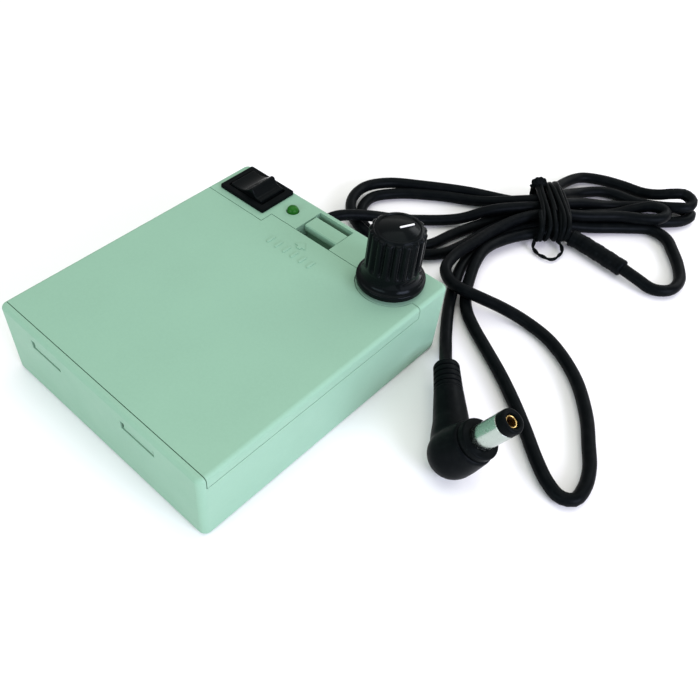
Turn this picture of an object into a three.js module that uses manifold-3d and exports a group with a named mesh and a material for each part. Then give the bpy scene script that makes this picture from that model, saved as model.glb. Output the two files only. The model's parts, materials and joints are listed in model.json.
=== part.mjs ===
// Battery-powered speed controller for a model train set: a shallow four-cell box with a
// lift-up battery cover, a rear control band and a captive output lead with a barrel plug.
// Millimetres, +Z up. The origin is the middle of the case's underside. X runs along the
// front edge, Y from the front wall to the control band. The case stands on z = 0.
import * as THREE from 'three';
import { mergeVertices } from 'three/addons/utils/BufferGeometryUtils.js';
import Module from 'manifold-3d';

const wasm = await Module();
wasm.setup();

// ---------- driving dimensions ----------
const CASE_WIDTH = 64.5;
const CASE_LENGTH = 74.4;
const CASE_HEIGHT = 19.3;
const WALL = 1.6;
const TOP_PLATE = 1.8;
const CASE_CORNER = 2.4;
const CASE_EDGE = 1.3;
const GAP = 0.3;

const BAND_SEAM_Y = 26.9;
const SWITCH_EAR_Y = 23.35;
const SWITCH_EAR_X = -13.4;
const SKIRT_DEPTH = 3.0;
const PARTITION_Y = 23.1;
const PARTITION = 1.0;

const KNOB_AT = [22.2, 28.4];
const KNOB_SKIRT_R = 7.7;
const KNOB_BODY_R = 5.7;
const KNOB_RISE = 15.2;
const KNOB_FLUTES = 18;
const NOTCH_INSET = 0.1;

const SWITCH_AT = [-22.3, 30.7];
const BEZEL = [15.0, 11.2, 1.2];
const SWITCH_BODY = [12.8, 8.6, 10.0];
const LED_AT = [-10.5, 31.3];
const LED_R = 1.55;

const SCREW_INSET = 2.8;
const BOSS = 5.0;

const RECESS_HALF = 5.3;
const RECESS_FLOOR = 9.8;
const POCKET_WALL = 0.8;
const CATCH_Z = [14.6, 15.5];
const LATCH_WIDTH = 10.1;
const HOOK_X = [-16.0, 14.0];
const HOOK_WIDTH = 10;

const CELL_R = 7.1;
const CELL_LENGTH = 50.0;
const CELL_PITCH = 14.6;
const CELL_FIRST_Y = -28.15;
const CELL_Z = 9.05;
const CELL_COUNT = 4;

const CORD_R = 1.5;
const GLAND_AT = [-12.5, 7.5];
const GLAND_LENGTH = 9;

const HALF_W = CASE_WIDTH / 2;
const HALF_L = CASE_LENGTH / 2;
const DECK_UNDER = CASE_HEIGHT - TOP_PLATE;
const INNER_X = HALF_W - WALL;
const INNER_Y = HALF_L - WALL;
const COVER_LOW = CASE_HEIGHT - SKIRT_DEPTH;

// ---------- materials ----------
function plastic(color, roughness = 0.5) {
  return new THREE.MeshStandardMaterial({ color, roughness, metalness: 0 });
}

function metal(color, roughness = 0.35) {
  return new THREE.MeshStandardMaterial({ color, roughness, metalness: 1 });
}

const materials = {
  shell: plastic(0xa0c9b2, 0.45),
  blackGloss: plastic(0x0a0c0c, 0.25),
  blackMatte: plastic(0x101212, 0.6),
  cordVinyl: plastic(0x0b0d0d, 0.42),
  white: plastic(0xf2f2ee, 0.5),
  ledGreen: plastic(0x1c6b1c, 0.2),
  board: plastic(0x1f6a3a, 0.5),
  cellWrap: plastic(0x3b4148, 0.35),
  wireRed: plastic(0x8c1b16, 0.45),
  nickel: metal(0xc9cdca, 0.3),
  brass: metal(0xb9974f, 0.35),
};

// ---------- helpers ----------
const group = new THREE.Group();

function solid(geometry) {
  const bare = geometry.clone();
  bare.deleteAttribute('normal');
  bare.deleteAttribute('uv');
  const merged = mergeVertices(bare, 1e-4);
  const mesh = new wasm.Mesh({
    numProp: 3,
    vertProperties: new Float32Array(merged.attributes.position.array),
    triVerts: new Uint32Array(merged.index.array),
  });
  return new wasm.Manifold(mesh);
}

function surface(body) {
  const mesh = body.getMesh();
  const geometry = new THREE.BufferGeometry();
  const points = new Float32Array(mesh.vertProperties);
  geometry.setAttribute('position', new THREE.BufferAttribute(points, 3));
  geometry.setIndex(new THREE.BufferAttribute(new Uint32Array(mesh.triVerts), 1));
  return geometry;
}

function box([x0, x1], [y0, y1], [z0, z1]) {
  const block = new THREE.BoxGeometry(x1 - x0, y1 - y0, z1 - z0);
  return block.translate((x0 + x1) / 2, (y0 + y1) / 2, (z0 + z1) / 2);
}

function block(x, y, z) {
  return solid(box(x, y, z));
}

function upright(radius, [z0, z1], [x, y], sides = 32) {
  const rod = new THREE.CylinderGeometry(radius, radius, z1 - z0, sides);
  return rod.rotateX(Math.PI / 2).translate(x, y, (z0 + z1) / 2);
}

function alongY(radius, [y0, y1], [x, z], sides = 24) {
  const rod = new THREE.CylinderGeometry(radius, radius, y1 - y0, sides);
  return rod.translate(x, (y0 + y1) / 2, z);
}

function roundedOutline(width, length, radius) {
  const w = width / 2;
  const l = length / 2;
  const outline = new THREE.Shape();
  outline.moveTo(-w + radius, -l);
  outline.lineTo(w - radius, -l);
  outline.absarc(w - radius, -l + radius, radius, -Math.PI / 2, 0);
  outline.lineTo(w, l - radius);
  outline.absarc(w - radius, l - radius, radius, 0, Math.PI / 2);
  outline.lineTo(-w + radius, l);
  outline.absarc(-w + radius, l - radius, radius, Math.PI / 2, Math.PI);
  outline.lineTo(-w, -l + radius);
  outline.absarc(-w + radius, -l + radius, radius, Math.PI, 1.5 * Math.PI);
  return outline;
}

function roundedBlock(width, length, height, corner, edge, steps = 3) {
  const shape = roundedOutline(width, length, corner);
  const bevel = {
    depth: height - 2 * edge,
    bevelEnabled: true,
    bevelThickness: edge,
    bevelSize: edge,
    bevelOffset: -edge,
    bevelSegments: steps,
    curveSegments: 4,
  };
  return new THREE.ExtrudeGeometry(shape, bevel).translate(0, 0, edge);
}

function sweep(points, radius, sides, steps) {
  const stops = points.map((p) => new THREE.Vector3(...p));
  const path = new THREE.CatmullRomCurve3(stops, false, 'centripetal');
  const section = new THREE.Shape();
  for (let i = 0; i < sides; i += 1) {
    const angle = (2 * Math.PI * i) / sides;
    const corner = [radius * Math.cos(angle), radius * Math.sin(angle)];
    if (i === 0) section.moveTo(...corner);
    else section.lineTo(...corner);
  }
  section.closePath();
  return new THREE.ExtrudeGeometry(section, { steps, extrudePath: path, bevelEnabled: false });
}

function turned(profile, sides = 24) {
  return new THREE.LatheGeometry(profile.map(([r, z]) => new THREE.Vector2(r, z)), sides);
}

function cleaned(geometry) {
  return surface(solid(geometry));
}

function add(name, shape, material, place = (g) => g) {
  const geometry = shape.isBufferGeometry ? cleaned(shape) : surface(shape);
  const mesh = new THREE.Mesh(place(geometry), material);
  mesh.name = name;
  group.add(mesh);
  return mesh;
}

// ---------- case ----------
function outerShell() {
  return solid(roundedBlock(CASE_WIDTH, CASE_LENGTH, CASE_HEIGHT, CASE_CORNER, CASE_EDGE));
}

// Everything above the side walls that belongs to the cover, set back by `gap` from the deck.
function coverRegion(gap, low) {
  const high = CASE_HEIGHT + 5;
  const front = -INNER_Y + gap;
  const whole = block([-HALF_W - 5, HALF_W + 5], [front, BAND_SEAM_Y - gap], [low, high]);
  const through = [low - 1, high + 1];
  const switchEar = block([-HALF_W - 6, SWITCH_EAR_X + gap], [SWITCH_EAR_Y - gap, HALF_L], through);
  const knobEar = solid(upright(KNOB_SKIRT_R - NOTCH_INSET + gap, through, KNOB_AT, 40));
  return whole.subtract(switchEar).subtract(knobEar);
}

function hookSlot(x) {
  return block([x - HOOK_WIDTH / 2, x + HOOK_WIDTH / 2], [-HALF_L - 2, -INNER_Y + 1], [14.3, 16.6]);
}

function caseBody() {
  let body = outerShell();
  body = body.subtract(block([-INNER_X, INNER_X], [-INNER_Y, PARTITION_Y], [WALL, DECK_UNDER - 0.5]));
  body = body.subtract(coverRegion(0, COVER_LOW - GAP));
  const bandY = [PARTITION_Y + PARTITION, INNER_Y];
  body = body.subtract(block([-INNER_X, INNER_X], bandY, [-1, DECK_UNDER]));
  const pocketX = [-RECESS_HALF - POCKET_WALL, RECESS_HALF + POCKET_WALL];
  const pocketZ = [RECESS_FLOOR - POCKET_WALL, CASE_HEIGHT - 0.5];
  body = body.add(block(pocketX, [BAND_SEAM_Y + 2, INNER_Y + 0.5], pocketZ));
  body = body.subtract(block([-RECESS_HALF, RECESS_HALF], [BAND_SEAM_Y - 1, INNER_Y], [RECESS_FLOOR, 30]));
  body = body.add(block([-4, 4], [INNER_Y - 0.55, INNER_Y + 0.5], CATCH_Z));
  for (const side of [-1, 1]) {
    const bossX = [side * INNER_X, side * (INNER_X - BOSS)].sort((a, b) => a - b);
    body = body.add(block(bossX, [INNER_Y - BOSS, INNER_Y + 0.5], [2.0, 7.0]));
    body = body.subtract(solid(upright(0.95, [1, 6], screwAt(side), 16)));
  }
  for (const x of HOOK_X) body = body.subtract(hookSlot(x));
  const notchY = [PARTITION_Y - 0.5, PARTITION_Y + PARTITION + 0.5];
  body = body.subtract(block([INNER_X - 2.4, INNER_X - 0.4], notchY, [1.75, 4.1]));
  const [sx, sy] = SWITCH_AT;
  const halfX = SWITCH_BODY[0] / 2 + GAP;
  const halfY = SWITCH_BODY[1] / 2 + GAP;
  body = body.subtract(block([sx - halfX, sx + halfX], [sy - halfY, sy + halfY], [DECK_UNDER - 1, 30]));
  body = body.subtract(solid(upright(LED_R + 0.2, [DECK_UNDER - 1, 30], LED_AT, 24)));
  body = body.subtract(solid(upright(3.8, [DECK_UNDER - 1, 30], KNOB_AT, 32)));
  body = body.subtract(solid(alongY(2.5, [INNER_Y - 1, HALF_L + 1], GLAND_AT)));
  for (let i = 1; i < CELL_COUNT; i += 1) {
    const y = CELL_FIRST_Y + (i - 0.5) * CELL_PITCH;
    body = body.add(block([-20, 20], [y - 0.4, y + 0.4], [WALL - 0.5, 3.6]));
  }
  return body;
}

function screwAt(side) {
  return [side * (INNER_X - SCREW_INSET), INNER_Y - SCREW_INSET];
}

function basePlate() {
  const alongX = [-INNER_X + GAP, INNER_X - GAP];
  let result = block(alongX, [PARTITION_Y + PARTITION + GAP, INNER_Y - GAP], [0.15, 1.7]);
  for (const side of [-1, 1]) {
    result = result.subtract(solid(upright(1.15, [-1, 3], screwAt(side), 16)));
    result = result.subtract(solid(upright(2.0, [-1, 0.9], screwAt(side), 20)));
  }
  return result;
}

function baseScrew(side) {
  const at = screwAt(side);
  const head = solid(upright(1.8, [0.2, 0.85], at, 20));
  const shank = solid(upright(0.8, [0.5, 5.5], at, 12));
  const slotA = block([at[0] - 0.2, at[0] + 0.2], [at[1] - 1.1, at[1] + 1.1], [0, 0.5]);
  const slotB = block([at[0] - 1.1, at[0] + 1.1], [at[1] - 0.2, at[1] + 0.2], [0, 0.5]);
  return head.add(shank).subtract(slotA).subtract(slotB);
}

// ---------- battery cover and its latch ----------
function hookTab(x) {
  const left = x - HOOK_WIDTH / 2 + 0.9;
  const right = x + HOOK_WIDTH / 2 - GAP;
  const legY = [-INNER_Y + 0.4, -INNER_Y + 1.9];
  const leg = block([left + 0.2, right - 0.2], legY, [14.8, DECK_UNDER + 0.5]);
  const lip = block([left, right], [-HALF_L + 0.15, -INNER_Y + 0.8], [14.75, 16.45]);
  return leg.add(lip);
}

function openMark() {
  const arrow = new THREE.Shape();
  arrow.moveTo(-1.6, 21.6);
  arrow.lineTo(1.6, 21.6);
  arrow.lineTo(0, 24.2);
  arrow.closePath();
  const low = CASE_HEIGHT - 0.5;
  const raised = new THREE.ExtrudeGeometry(arrow, { depth: 0.75, bevelEnabled: false });
  return solid(raised.translate(0, 0, low));
}

function batteryCover() {
  let body = outerShell().intersect(coverRegion(GAP, COVER_LOW));
  body = body.subtract(block([-INNER_X, INNER_X], [-HALF_L, HALF_L], [0, DECK_UNDER]));
  for (const x of HOOK_X) body = body.add(hookTab(x));
  const wallY = [BAND_SEAM_Y - 1.4, BAND_SEAM_Y - 0.4];
  body = body.add(block([-4.85, 4.85], wallY, [10.6, DECK_UNDER + 0.5]));
  body = body.add(block([-4.9, 4.9], [BAND_SEAM_Y - 1.3, BAND_SEAM_Y + 2.6], [10.5, 11.4]));
  for (const x of [-12, 12]) {
    body = body.add(block([x - 0.5, x + 0.5], [-30, 12], [DECK_UNDER - 0.6, DECK_UNDER + 0.5]));
  }
  return body.add(openMark());
}

function coverLatch() {
  const side = new THREE.Shape();
  side.moveTo(30.0, 10.6);
  side.lineTo(31.0, 10.6);
  side.lineTo(31.6, 13.2);
  side.lineTo(34.7, 13.4);
  side.lineTo(33.0, 14.3);
  side.lineTo(31.8, 14.6);
  side.lineTo(32.0, 17.0);
  side.lineTo(34.1, 17.4);
  side.absarc(33.7, 18.7, 0.4, 0, Math.PI / 2);
  side.lineTo(30.2, 19.1);
  side.absarc(30.2, 18.7, 0.4, Math.PI / 2, Math.PI);
  side.lineTo(29.8, 17.2);
  side.lineTo(30.8, 16.6);
  side.closePath();
  const bar = new THREE.ExtrudeGeometry(side, { depth: LATCH_WIDTH, bevelEnabled: false, curveSegments: 4 });
  return bar.applyMatrix4(new THREE.Matrix4().set(
    0, 0, 1, -LATCH_WIDTH / 2,
    1, 0, 0, 0,
    0, 1, 0, 0,
    0, 0, 0, 1,
  ));
}

// ---------- cells and contacts ----------
function cellProfile() {
  const body = CELL_LENGTH - 1.4;
  return [
    [0, 0], [5.2, 0], [5.6, 0.3], [CELL_R - 0.4, 0.3], [CELL_R, 0.7], [CELL_R, body - 0.7],
    [CELL_R - 0.4, body], [4.0, body], [2.7, body + 0.15], [2.7, body + 1.1], [2.4, CELL_LENGTH],
    [0, CELL_LENGTH],
  ];
}

function cellY(i) {
  return CELL_FIRST_Y + i * CELL_PITCH;
}

function addCells() {
  for (let i = 0; i < CELL_COUNT; i += 1) {
    const facing = i % 2 === 0 ? 1 : -1;
    const start = -facing * 21.6;
    add(`cell_${i + 1}`, turned(cellProfile(), 20), materials.cellWrap, (g) => (
      g.rotateZ(-facing * Math.PI / 2).translate(start, cellY(i), CELL_Z)
    ));
    const coil = [];
    const turns = 3;
    const perTurn = 8;
    for (let k = 0; k <= turns * perTurn; k += 1) {
      const along = k / (turns * perTurn);
      const angle = (2 * Math.PI * k) / perTurn;
      const r = 4.4 - 1.6 * along;
      coil.push([along * 7.2, r * Math.cos(angle), r * Math.sin(angle)]);
    }
    const spring = sweep(coil, 0.35, 5, turns * 10);
    add(`contact_spring_${i + 1}`, spring, materials.nickel, (g) => (
      g.rotateZ(facing > 0 ? 0 : Math.PI).translate(-facing * 29.6, cellY(i), CELL_Z)
    ));
  }
}

function contactPlate(side, first, last) {
  const x = side * (INNER_X - 0.35);
  const y0 = cellY(first) - 5.6;
  const y1 = cellY(last) + 5.6;
  const plate = block([x - 0.2, x + 0.2], [y0, y1], [2.6, 14.8]);
  const stem = block([x - 0.2, x + 0.2], [(y0 + y1) / 2 - 1.5, (y0 + y1) / 2 + 1.5], [1.8, 3]);
  return plate.add(stem);
}

function addContacts() {
  add('contact_plate_left_1', contactPlate(-1, 0, 1), materials.nickel);
  add('contact_plate_left_2', contactPlate(-1, 2, 3), materials.nickel);
  add('contact_plate_right_1', contactPlate(1, 0, 0), materials.nickel);
  add('contact_plate_right_2', contactPlate(1, 1, 2), materials.nickel);
  add('contact_plate_right_3', contactPlate(1, 3, 3), materials.nickel);
}

// ---------- direction switch ----------
function switchHousing() {
  const [x, y] = SWITCH_AT;
  const top = CASE_HEIGHT + BEZEL[2];
  const rim = solid(roundedBlock(BEZEL[0], BEZEL[1], BEZEL[2] - 0.05, 0.8, 0.4, 2));
  const flange = rim.translate([x, y, CASE_HEIGHT + 0.05]);
  const low = DECK_UNDER - SWITCH_BODY[2];
  const halfX = SWITCH_BODY[0] / 2;
  const halfY = SWITCH_BODY[1] / 2;
  const can = block([x - halfX, x + halfX], [y - halfY, y + halfY], [low, CASE_HEIGHT + 0.5]);
  const well = block([x - 5.85, x + 5.85], [y - 4.05, y + 4.05], [DECK_UNDER - 5.5, top + 1]);
  return flange.add(can).subtract(well);
}

// The rocker's side view: a long dished flank rises to a thumb ridge, and a short one drops away.
function switchRocker() {
  const half = 5.15;
  const low = -1.6;
  const ridge = 4.2;
  const side = new THREE.Shape();
  side.moveTo(-half, low);
  side.lineTo(-2.2, low - 2);
  side.lineTo(2.2, low - 2);
  side.lineTo(half, low);
  side.quadraticCurveTo(half + 0.5, 0.5, half, 2.4);
  side.quadraticCurveTo(3.2, 2.3, 2.4, ridge);
  side.lineTo(1.4, ridge);
  side.quadraticCurveTo(-0.8, 2.2, -half, 2.5);
  side.quadraticCurveTo(-half - 0.5, 0.5, -half, low);
  side.closePath();
  const width = 7.5;
  const body = new THREE.ExtrudeGeometry(side, { depth: width, bevelEnabled: false, curveSegments: 8 });
  return body.rotateX(Math.PI / 2).translate(SWITCH_AT[0], SWITCH_AT[1] + width / 2, CASE_HEIGHT - 0.8);
}

function switchTerminal(i) {
  const x = SWITCH_AT[0] + (i - 1) * 4.6;
  const low = DECK_UNDER - SWITCH_BODY[2];
  return block([x - 0.3, x + 0.3], [SWITCH_AT[1] - 2.6, SWITCH_AT[1] - 0.2], [low - 3.6, low - 0.05]);
}

// ---------- indicator lamp ----------
function ledLamp() {
  const dome = [];
  for (let k = 0; k <= 6; k += 1) {
    const angle = (k / 6) * (Math.PI / 2);
    dome.push([LED_R * Math.cos(angle), CASE_HEIGHT + 0.1 + 1.3 * Math.sin(angle)]);
  }
  const low = DECK_UNDER - 2.4;
  const base = [[0, low], [1.9, low], [1.9, low + 1], [LED_R, low + 1]];
  return turned([...base, ...dome.slice(0, -1), [0, dome[6][1]]], 24);
}

function ledLead(side) {
  const x = LED_AT[0] + side * 1.27;
  const span = [BOARD_TOP + 0.05, DECK_UNDER - 2.45];
  return block([x - 0.25, x + 0.25], [LED_AT[1] - 0.25, LED_AT[1] + 0.25], span);
}

// ---------- speed potentiometer and knob ----------
const POT_TOP = DECK_UNDER - 0.1;
const KNOB_BASE = CASE_HEIGHT + 1.0;
const KNOB_TOP = CASE_HEIGHT + KNOB_RISE;

function potBody() {
  const [x, y] = KNOB_AT;
  const can = block([x - 4.7, x + 4.7], [y - 3.9, y + 4.3], [POT_TOP - 6.5, POT_TOP]);
  return can.subtract(solid(upright(2.0, [POT_TOP - 1.5, POT_TOP + 1], KNOB_AT, 20)));
}

function ring(outer, inner, span, sides = 28) {
  const bar = solid(upright(outer, span, KNOB_AT, sides));
  return bar.subtract(solid(upright(inner, [span[0] - 1, span[1] + 1], KNOB_AT, 28)));
}

function potShaft() {
  const rod = solid(upright(2.95, [POT_TOP + 0.2, KNOB_TOP - 2.2], KNOB_AT, 24));
  const flatX = [KNOB_AT[0] - 4, KNOB_AT[0] + 4];
  return rod.subtract(block(flatX, [KNOB_AT[1] + 2.0, KNOB_AT[1] + 5], [KNOB_BASE + 3, KNOB_TOP]));
}

function flutedPrism(low, high, outer, depth, count) {
  const outline = new THREE.Shape();
  const perFlute = 6;
  for (let k = 0; k < count * perFlute; k += 1) {
    const phase = (k % perFlute) / perFlute;
    const dip = Math.max(0, Math.sin(phase * 2 * Math.PI)) * depth;
    const angle = (2 * Math.PI * k) / (count * perFlute);
    const point = [(outer - dip) * Math.cos(angle), (outer - dip) * Math.sin(angle)];
    if (k === 0) outline.moveTo(...point);
    else outline.lineTo(...point);
  }
  outline.closePath();
  const prism = new THREE.ExtrudeGeometry(outline, { depth: high - low, bevelEnabled: false });
  return prism.translate(0, 0, low);
}

function knobBody() {
  const bodyTop = KNOB_TOP - 0.5;
  const skirt = [
    [0, KNOB_BASE], [KNOB_SKIRT_R - 0.3, KNOB_BASE], [KNOB_SKIRT_R, KNOB_BASE + 0.3],
    [KNOB_SKIRT_R, KNOB_BASE + 1.2],
  ];
  for (let k = 1; k <= 5; k += 1) {
    const t = k / 5;
    const inset = (KNOB_SKIRT_R - KNOB_BODY_R) * Math.sin((t * Math.PI) / 2);
    skirt.push([KNOB_SKIRT_R - inset, KNOB_BASE + 1.2 + 4.0 * t]);
  }
  skirt.push([0, KNOB_BASE + 5.4]);
  let body = solid(turned(skirt, 40).rotateX(Math.PI / 2));
  body = body.add(solid(flutedPrism(KNOB_BASE + 3, bodyTop, KNOB_BODY_R, 0.55, KNOB_FLUTES)));
  const disc = [
    [0, bodyTop - 0.5], [4.9, bodyTop - 0.5], [4.6, bodyTop + 0.2], [4.1, KNOB_TOP], [0, KNOB_TOP],
  ];
  body = body.add(solid(turned(disc, 32).rotateX(Math.PI / 2)));
  body = body.translate([KNOB_AT[0], KNOB_AT[1], 0]);
  body = body.subtract(solid(upright(6.4, [0, KNOB_BASE + 1.4], KNOB_AT, 32)));
  body = body.subtract(solid(upright(3.1, [0, KNOB_TOP - 2.0], KNOB_AT, 24)));
  return body.subtract(pointerBar(0.12));
}

const POINTER_ANGLE = (64 * Math.PI) / 180;

function pointerBar(room) {
  const start = 0.9 - room;
  const end = 4.3 + room;
  const top = KNOB_TOP + (room > 0 ? 1 : 0.03);
  const bar = box([start, end], [-0.3 - room, 0.3 + room], [KNOB_TOP - 0.4 - room, top]);
  return solid(bar.rotateZ(POINTER_ANGLE).translate(KNOB_AT[0], KNOB_AT[1], 0));
}

function potTerminal(i) {
  const x = KNOB_AT[0] + (i - 1) * 2.5;
  return block([x - 0.4, x + 0.4], [KNOB_AT[1] + 4.35, KNOB_AT[1] + 4.65], [BOARD_TOP + 0.05, POT_TOP - 3]);
}

// ---------- circuit board ----------
const BOARD_TOP = 4.6;

function circuitBoard() {
  return box([-14, 24.5], [PARTITION_Y + PARTITION + 0.5, INNER_Y - 1.3], [BOARD_TOP - 1.2, BOARD_TOP]);
}

// ---------- wires inside the case ----------
const WIRE_R = 0.4;
const WIRES = {
  wire_battery_plus: [
    [29.1, -27.0, 2.35], [29.1, -10, 2.35], [29.1, 20, 2.35], [28.9, 24.5, 2.45], [27.2, 27.2, 3.0],
    [25.4, 28.2, 3.9],
  ],
  wire_battery_minus: [
    [29.1, 16.5, 3.5], [29.1, 22, 3.5], [28.8, 25.2, 3.6], [27.4, 26.2, 3.8], [25.4, 26.4, 4.1],
  ],
  wire_switch: [
    [SWITCH_AT[0], 29.3, 3.4], [SWITCH_AT[0] + 2.0, 29.1, 2.6], [-17, 28.8, 2.6], [-14.9, 28.4, 3.8],
  ],
  wire_output: [
    [GLAND_AT[0], 34.3, 7.6], [-13.0, 33.2, 7.3], [-13.2, 32.4, 6.2], [-13.2, 32.2, 5.1],
  ],
};

// ---------- output lead ----------
const HANK_CENTRE = [24, 98];
const HANK_HEADING = Math.PI / 4;

function inCase([along, across, height]) {
  const c = Math.cos(HANK_HEADING);
  const s = Math.sin(HANK_HEADING);
  return [HANK_CENTRE[0] + c * along - s * across, HANK_CENTRE[1] + s * along + c * across, height];
}

// The lead's free stretches, as [along, across, height] from the middle of the tied hank.
const LEAD_OUT = [[-61.7, -10.35, 7.4], [-59.2, -8.9, 7.2], [-57.0, -8.1, 7.0]];

const LONG_LOOP = [
  [-31.6, -25.2, 4.7], [-32.3, -28.0, 4.8], [-31.4, -32.0, 4.8], [-28.4, -34.8, 4.6], [-24.4, -36.8, 4.0],
  [-19.4, -38.8, 2.8], [-14.2, -42.2, 1.7], [-9.4, -49.0, 1.6], [-6.4, -60.0, 1.6], [-6.6, -71.4, 1.6],
  [-8.2, -79.6, 1.6], [-9.6, -85.6, 1.6], [-11.9, -90.4, 1.6], [-14.8, -93.3, 1.6], [-17.6, -92.6, 1.6],
  [-19.4, -89.0, 1.6], [-20.4, -83.6, 1.6], [-21.2, -75, 1.6], [-22.2, -67, 1.6], [-23.6, -59.2, 1.6],
  [-25.5, -51.4, 1.6], [-27.2, -44.4, 1.6], [-28.0, -38.4, 1.7], [-27.2, -32.4, 1.9], [-25.4, -27.0, 2.5],
];

const PLUG_LEAD = [
  [-29.0, -27.4, 1.6], [-31.2, -33.6, 1.6], [-33.0, -40.2, 1.6], [-34.4, -47.0, 1.6], [-35.3, -52.3, 2.0],
  [-36.1, -56.2, 3.2], [-36.6, -59.1, 4.2],
];

const SIDE_LOOP = [
  [15.7, -24.1, 2.5], [17.8, -26.8, 2.3], [21.4, -30.2, 1.6], [25.6, -30.6, 1.6], [29.2, -27.4, 1.6],
  [31.0, -21.6, 1.6], [31.6, -15, 1.6], [31.5, -10.0, 1.6],
];

const SLEEVE = [[6.9, -13.2, 2.5], [9.6, -16.2, 2.5], [12.5, -19.9, 2.5], [15.2, -23.4, 2.5]];

const HANK_HEIGHT = 7.0;
const WAIST = [-10.3, 5.5];
const WAIST_Z = [1.05, 6.7];

function hankSolid() {
  const outline = new THREE.Shape();
  outline.moveTo(-4, -10.9);
  outline.lineTo(4, -10.9);
  outline.lineTo(22, -8.6);
  outline.lineTo(34, -8.4);
  outline.lineTo(40.5, -4.6);
  outline.absarc(38.9, 1.8, 6.0, -1.1, 0.9);
  outline.lineTo(33.5, 12.0);
  outline.absarc(16.5, 6.5, 14.0, 0.5, 0.75 * Math.PI);
  outline.lineTo(0, 6.1);
  outline.lineTo(-12, 9.0);
  outline.lineTo(-36, 14.4);
  outline.absarc(-39.6, -2.0, 16.6, Math.PI / 2, 1.5 * Math.PI);
  outline.lineTo(-30, -18.8);
  outline.closePath();
  const flat = { depth: HANK_HEIGHT, bevelEnabled: false, curveSegments: 8 };
  const pad = solid(new THREE.ExtrudeGeometry(outline, flat));
  const band = block([-0.9, 0.9], [-30, 30], [-5, 20]);
  const core = block([-2, 2], WAIST, WAIST_Z);
  return pad.subtract(band.subtract(core));
}

const TIE_WIRE = 0.35;

function twistTie() {
  const low = 0.4;
  const high = WAIST_Z[1] + 0.3 + TIE_WIRE;
  const near = WAIST[0] - 0.3 - TIE_WIRE;
  const far = WAIST[1] + 0.3 + TIE_WIRE;
  const across = [near - TIE_WIRE, far + TIE_WIRE];
  const outer = block([-TIE_WIRE, TIE_WIRE], across, [low - TIE_WIRE, high + TIE_WIRE]);
  const hole = [near + TIE_WIRE, far - TIE_WIRE];
  const inner = block([-3, 3], hole, [low + TIE_WIRE, high - TIE_WIRE]);
  const twist = [[0, far - 1.6, high], [0.2, far - 0.4, high + 1.2], [-0.1, far + 0.4, high + 2.6]];
  const knot = sweep(twist, 0.75, 8, 5);
  const loop = [
    [0, near, 3.2], [-1.6, near - 1.2, 2.0], [-4.4, near - 2.6, 0.7], [-5.6, near - 5.0, 0.5],
    [-4.2, near - 8.0, 0.5], [-1.0, near - 8.4, 0.5], [1.2, near - 5.6, 0.5], [1.9, near - 2.6, 0.8],
    [1.2, near - 1.2, 1.8],
  ];
  return outer.subtract(inner).add(solid(knot)).add(solid(sweep(loop, 0.3, 6, 22)));
}

function placed(shape) {
  const geometry = shape.isBufferGeometry ? cleaned(shape) : surface(shape);
  return geometry.rotateZ(HANK_HEADING).translate(HANK_CENTRE[0], HANK_CENTRE[1], 0);
}

function gland() {
  const [x, z] = GLAND_AT;
  const from = HALF_L;
  const tip = HALF_L + GLAND_LENGTH;
  const outside = [
    [0, from + 0.1], [3.6, from + 0.1], [3.6, from + 1.2], [2.9, from + 2.0], [2.1, tip], [0, tip],
  ];
  const boot = solid(turned(outside, 20)).translate([x, 0, z]);
  const neck = solid(alongY(2.3, [from - WALL - 0.1, from + 0.5], GLAND_AT, 20));
  const flange = solid(alongY(3.2, [from - WALL - 1.0, from - WALL - 0.1], GLAND_AT, 20));
  return boot.add(neck).add(flange);
}

// ---------- barrel plug ----------
const PLUG_HEAD = [56.3, 10.5, 5.6];
const BARREL_TURN = (21 * Math.PI) / 180;
const BARREL_RISE = (62 * Math.PI) / 180;
const HEAD_R = 5.5;
const COLLAR_R = 4.5;
const COLLAR_AT = 8.7;
const BARREL_R = 2.75;
const BARREL_END = COLLAR_AT + 7.2;
const PLUG_TIP = COLLAR_AT + 9.3;
const BOOT_START = [-36.75, -59.95, 4.6];
const BOOT_R = 3.0;
const BOOT_RIBS = 5;
const RIB_PITCH = 1.6;

// Builds a turned piece along the barrel's axis, from the middle of the plug's head.
function alongBarrel(profile, sides = 24) {
  const up = turned(profile, sides).rotateZ(BARREL_RISE - Math.PI / 2).rotateX(Math.PI / 2);
  return up.rotateZ(BARREL_TURN).translate(...PLUG_HEAD);
}

function plugBoot() {
  const start = inCase(BOOT_START);
  const toward = new THREE.Vector3(...PLUG_HEAD).sub(new THREE.Vector3(...start));
  const reach = toward.length();
  const profile = [[0, 0], [BOOT_R - 0.4, 0], [BOOT_R, 0.5]];
  for (let k = 0; k < BOOT_RIBS; k += 1) {
    const z = 0.5 + k * RIB_PITCH;
    const r = BOOT_R + 0.05 * k;
    profile.push([r, z + 1.0], [r - 0.35, z + 1.1], [r - 0.35, z + 1.5], [r + 0.05, z + RIB_PITCH]);
  }
  profile.push([4.1, reach - 7], [4.9, reach - 2], [0, reach - 2]);
  const turn = new THREE.Quaternion().setFromUnitVectors(new THREE.Vector3(0, 1, 0), toward.normalize());
  return solid(turned(profile, 20).applyQuaternion(turn).translate(...start));
}

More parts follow.
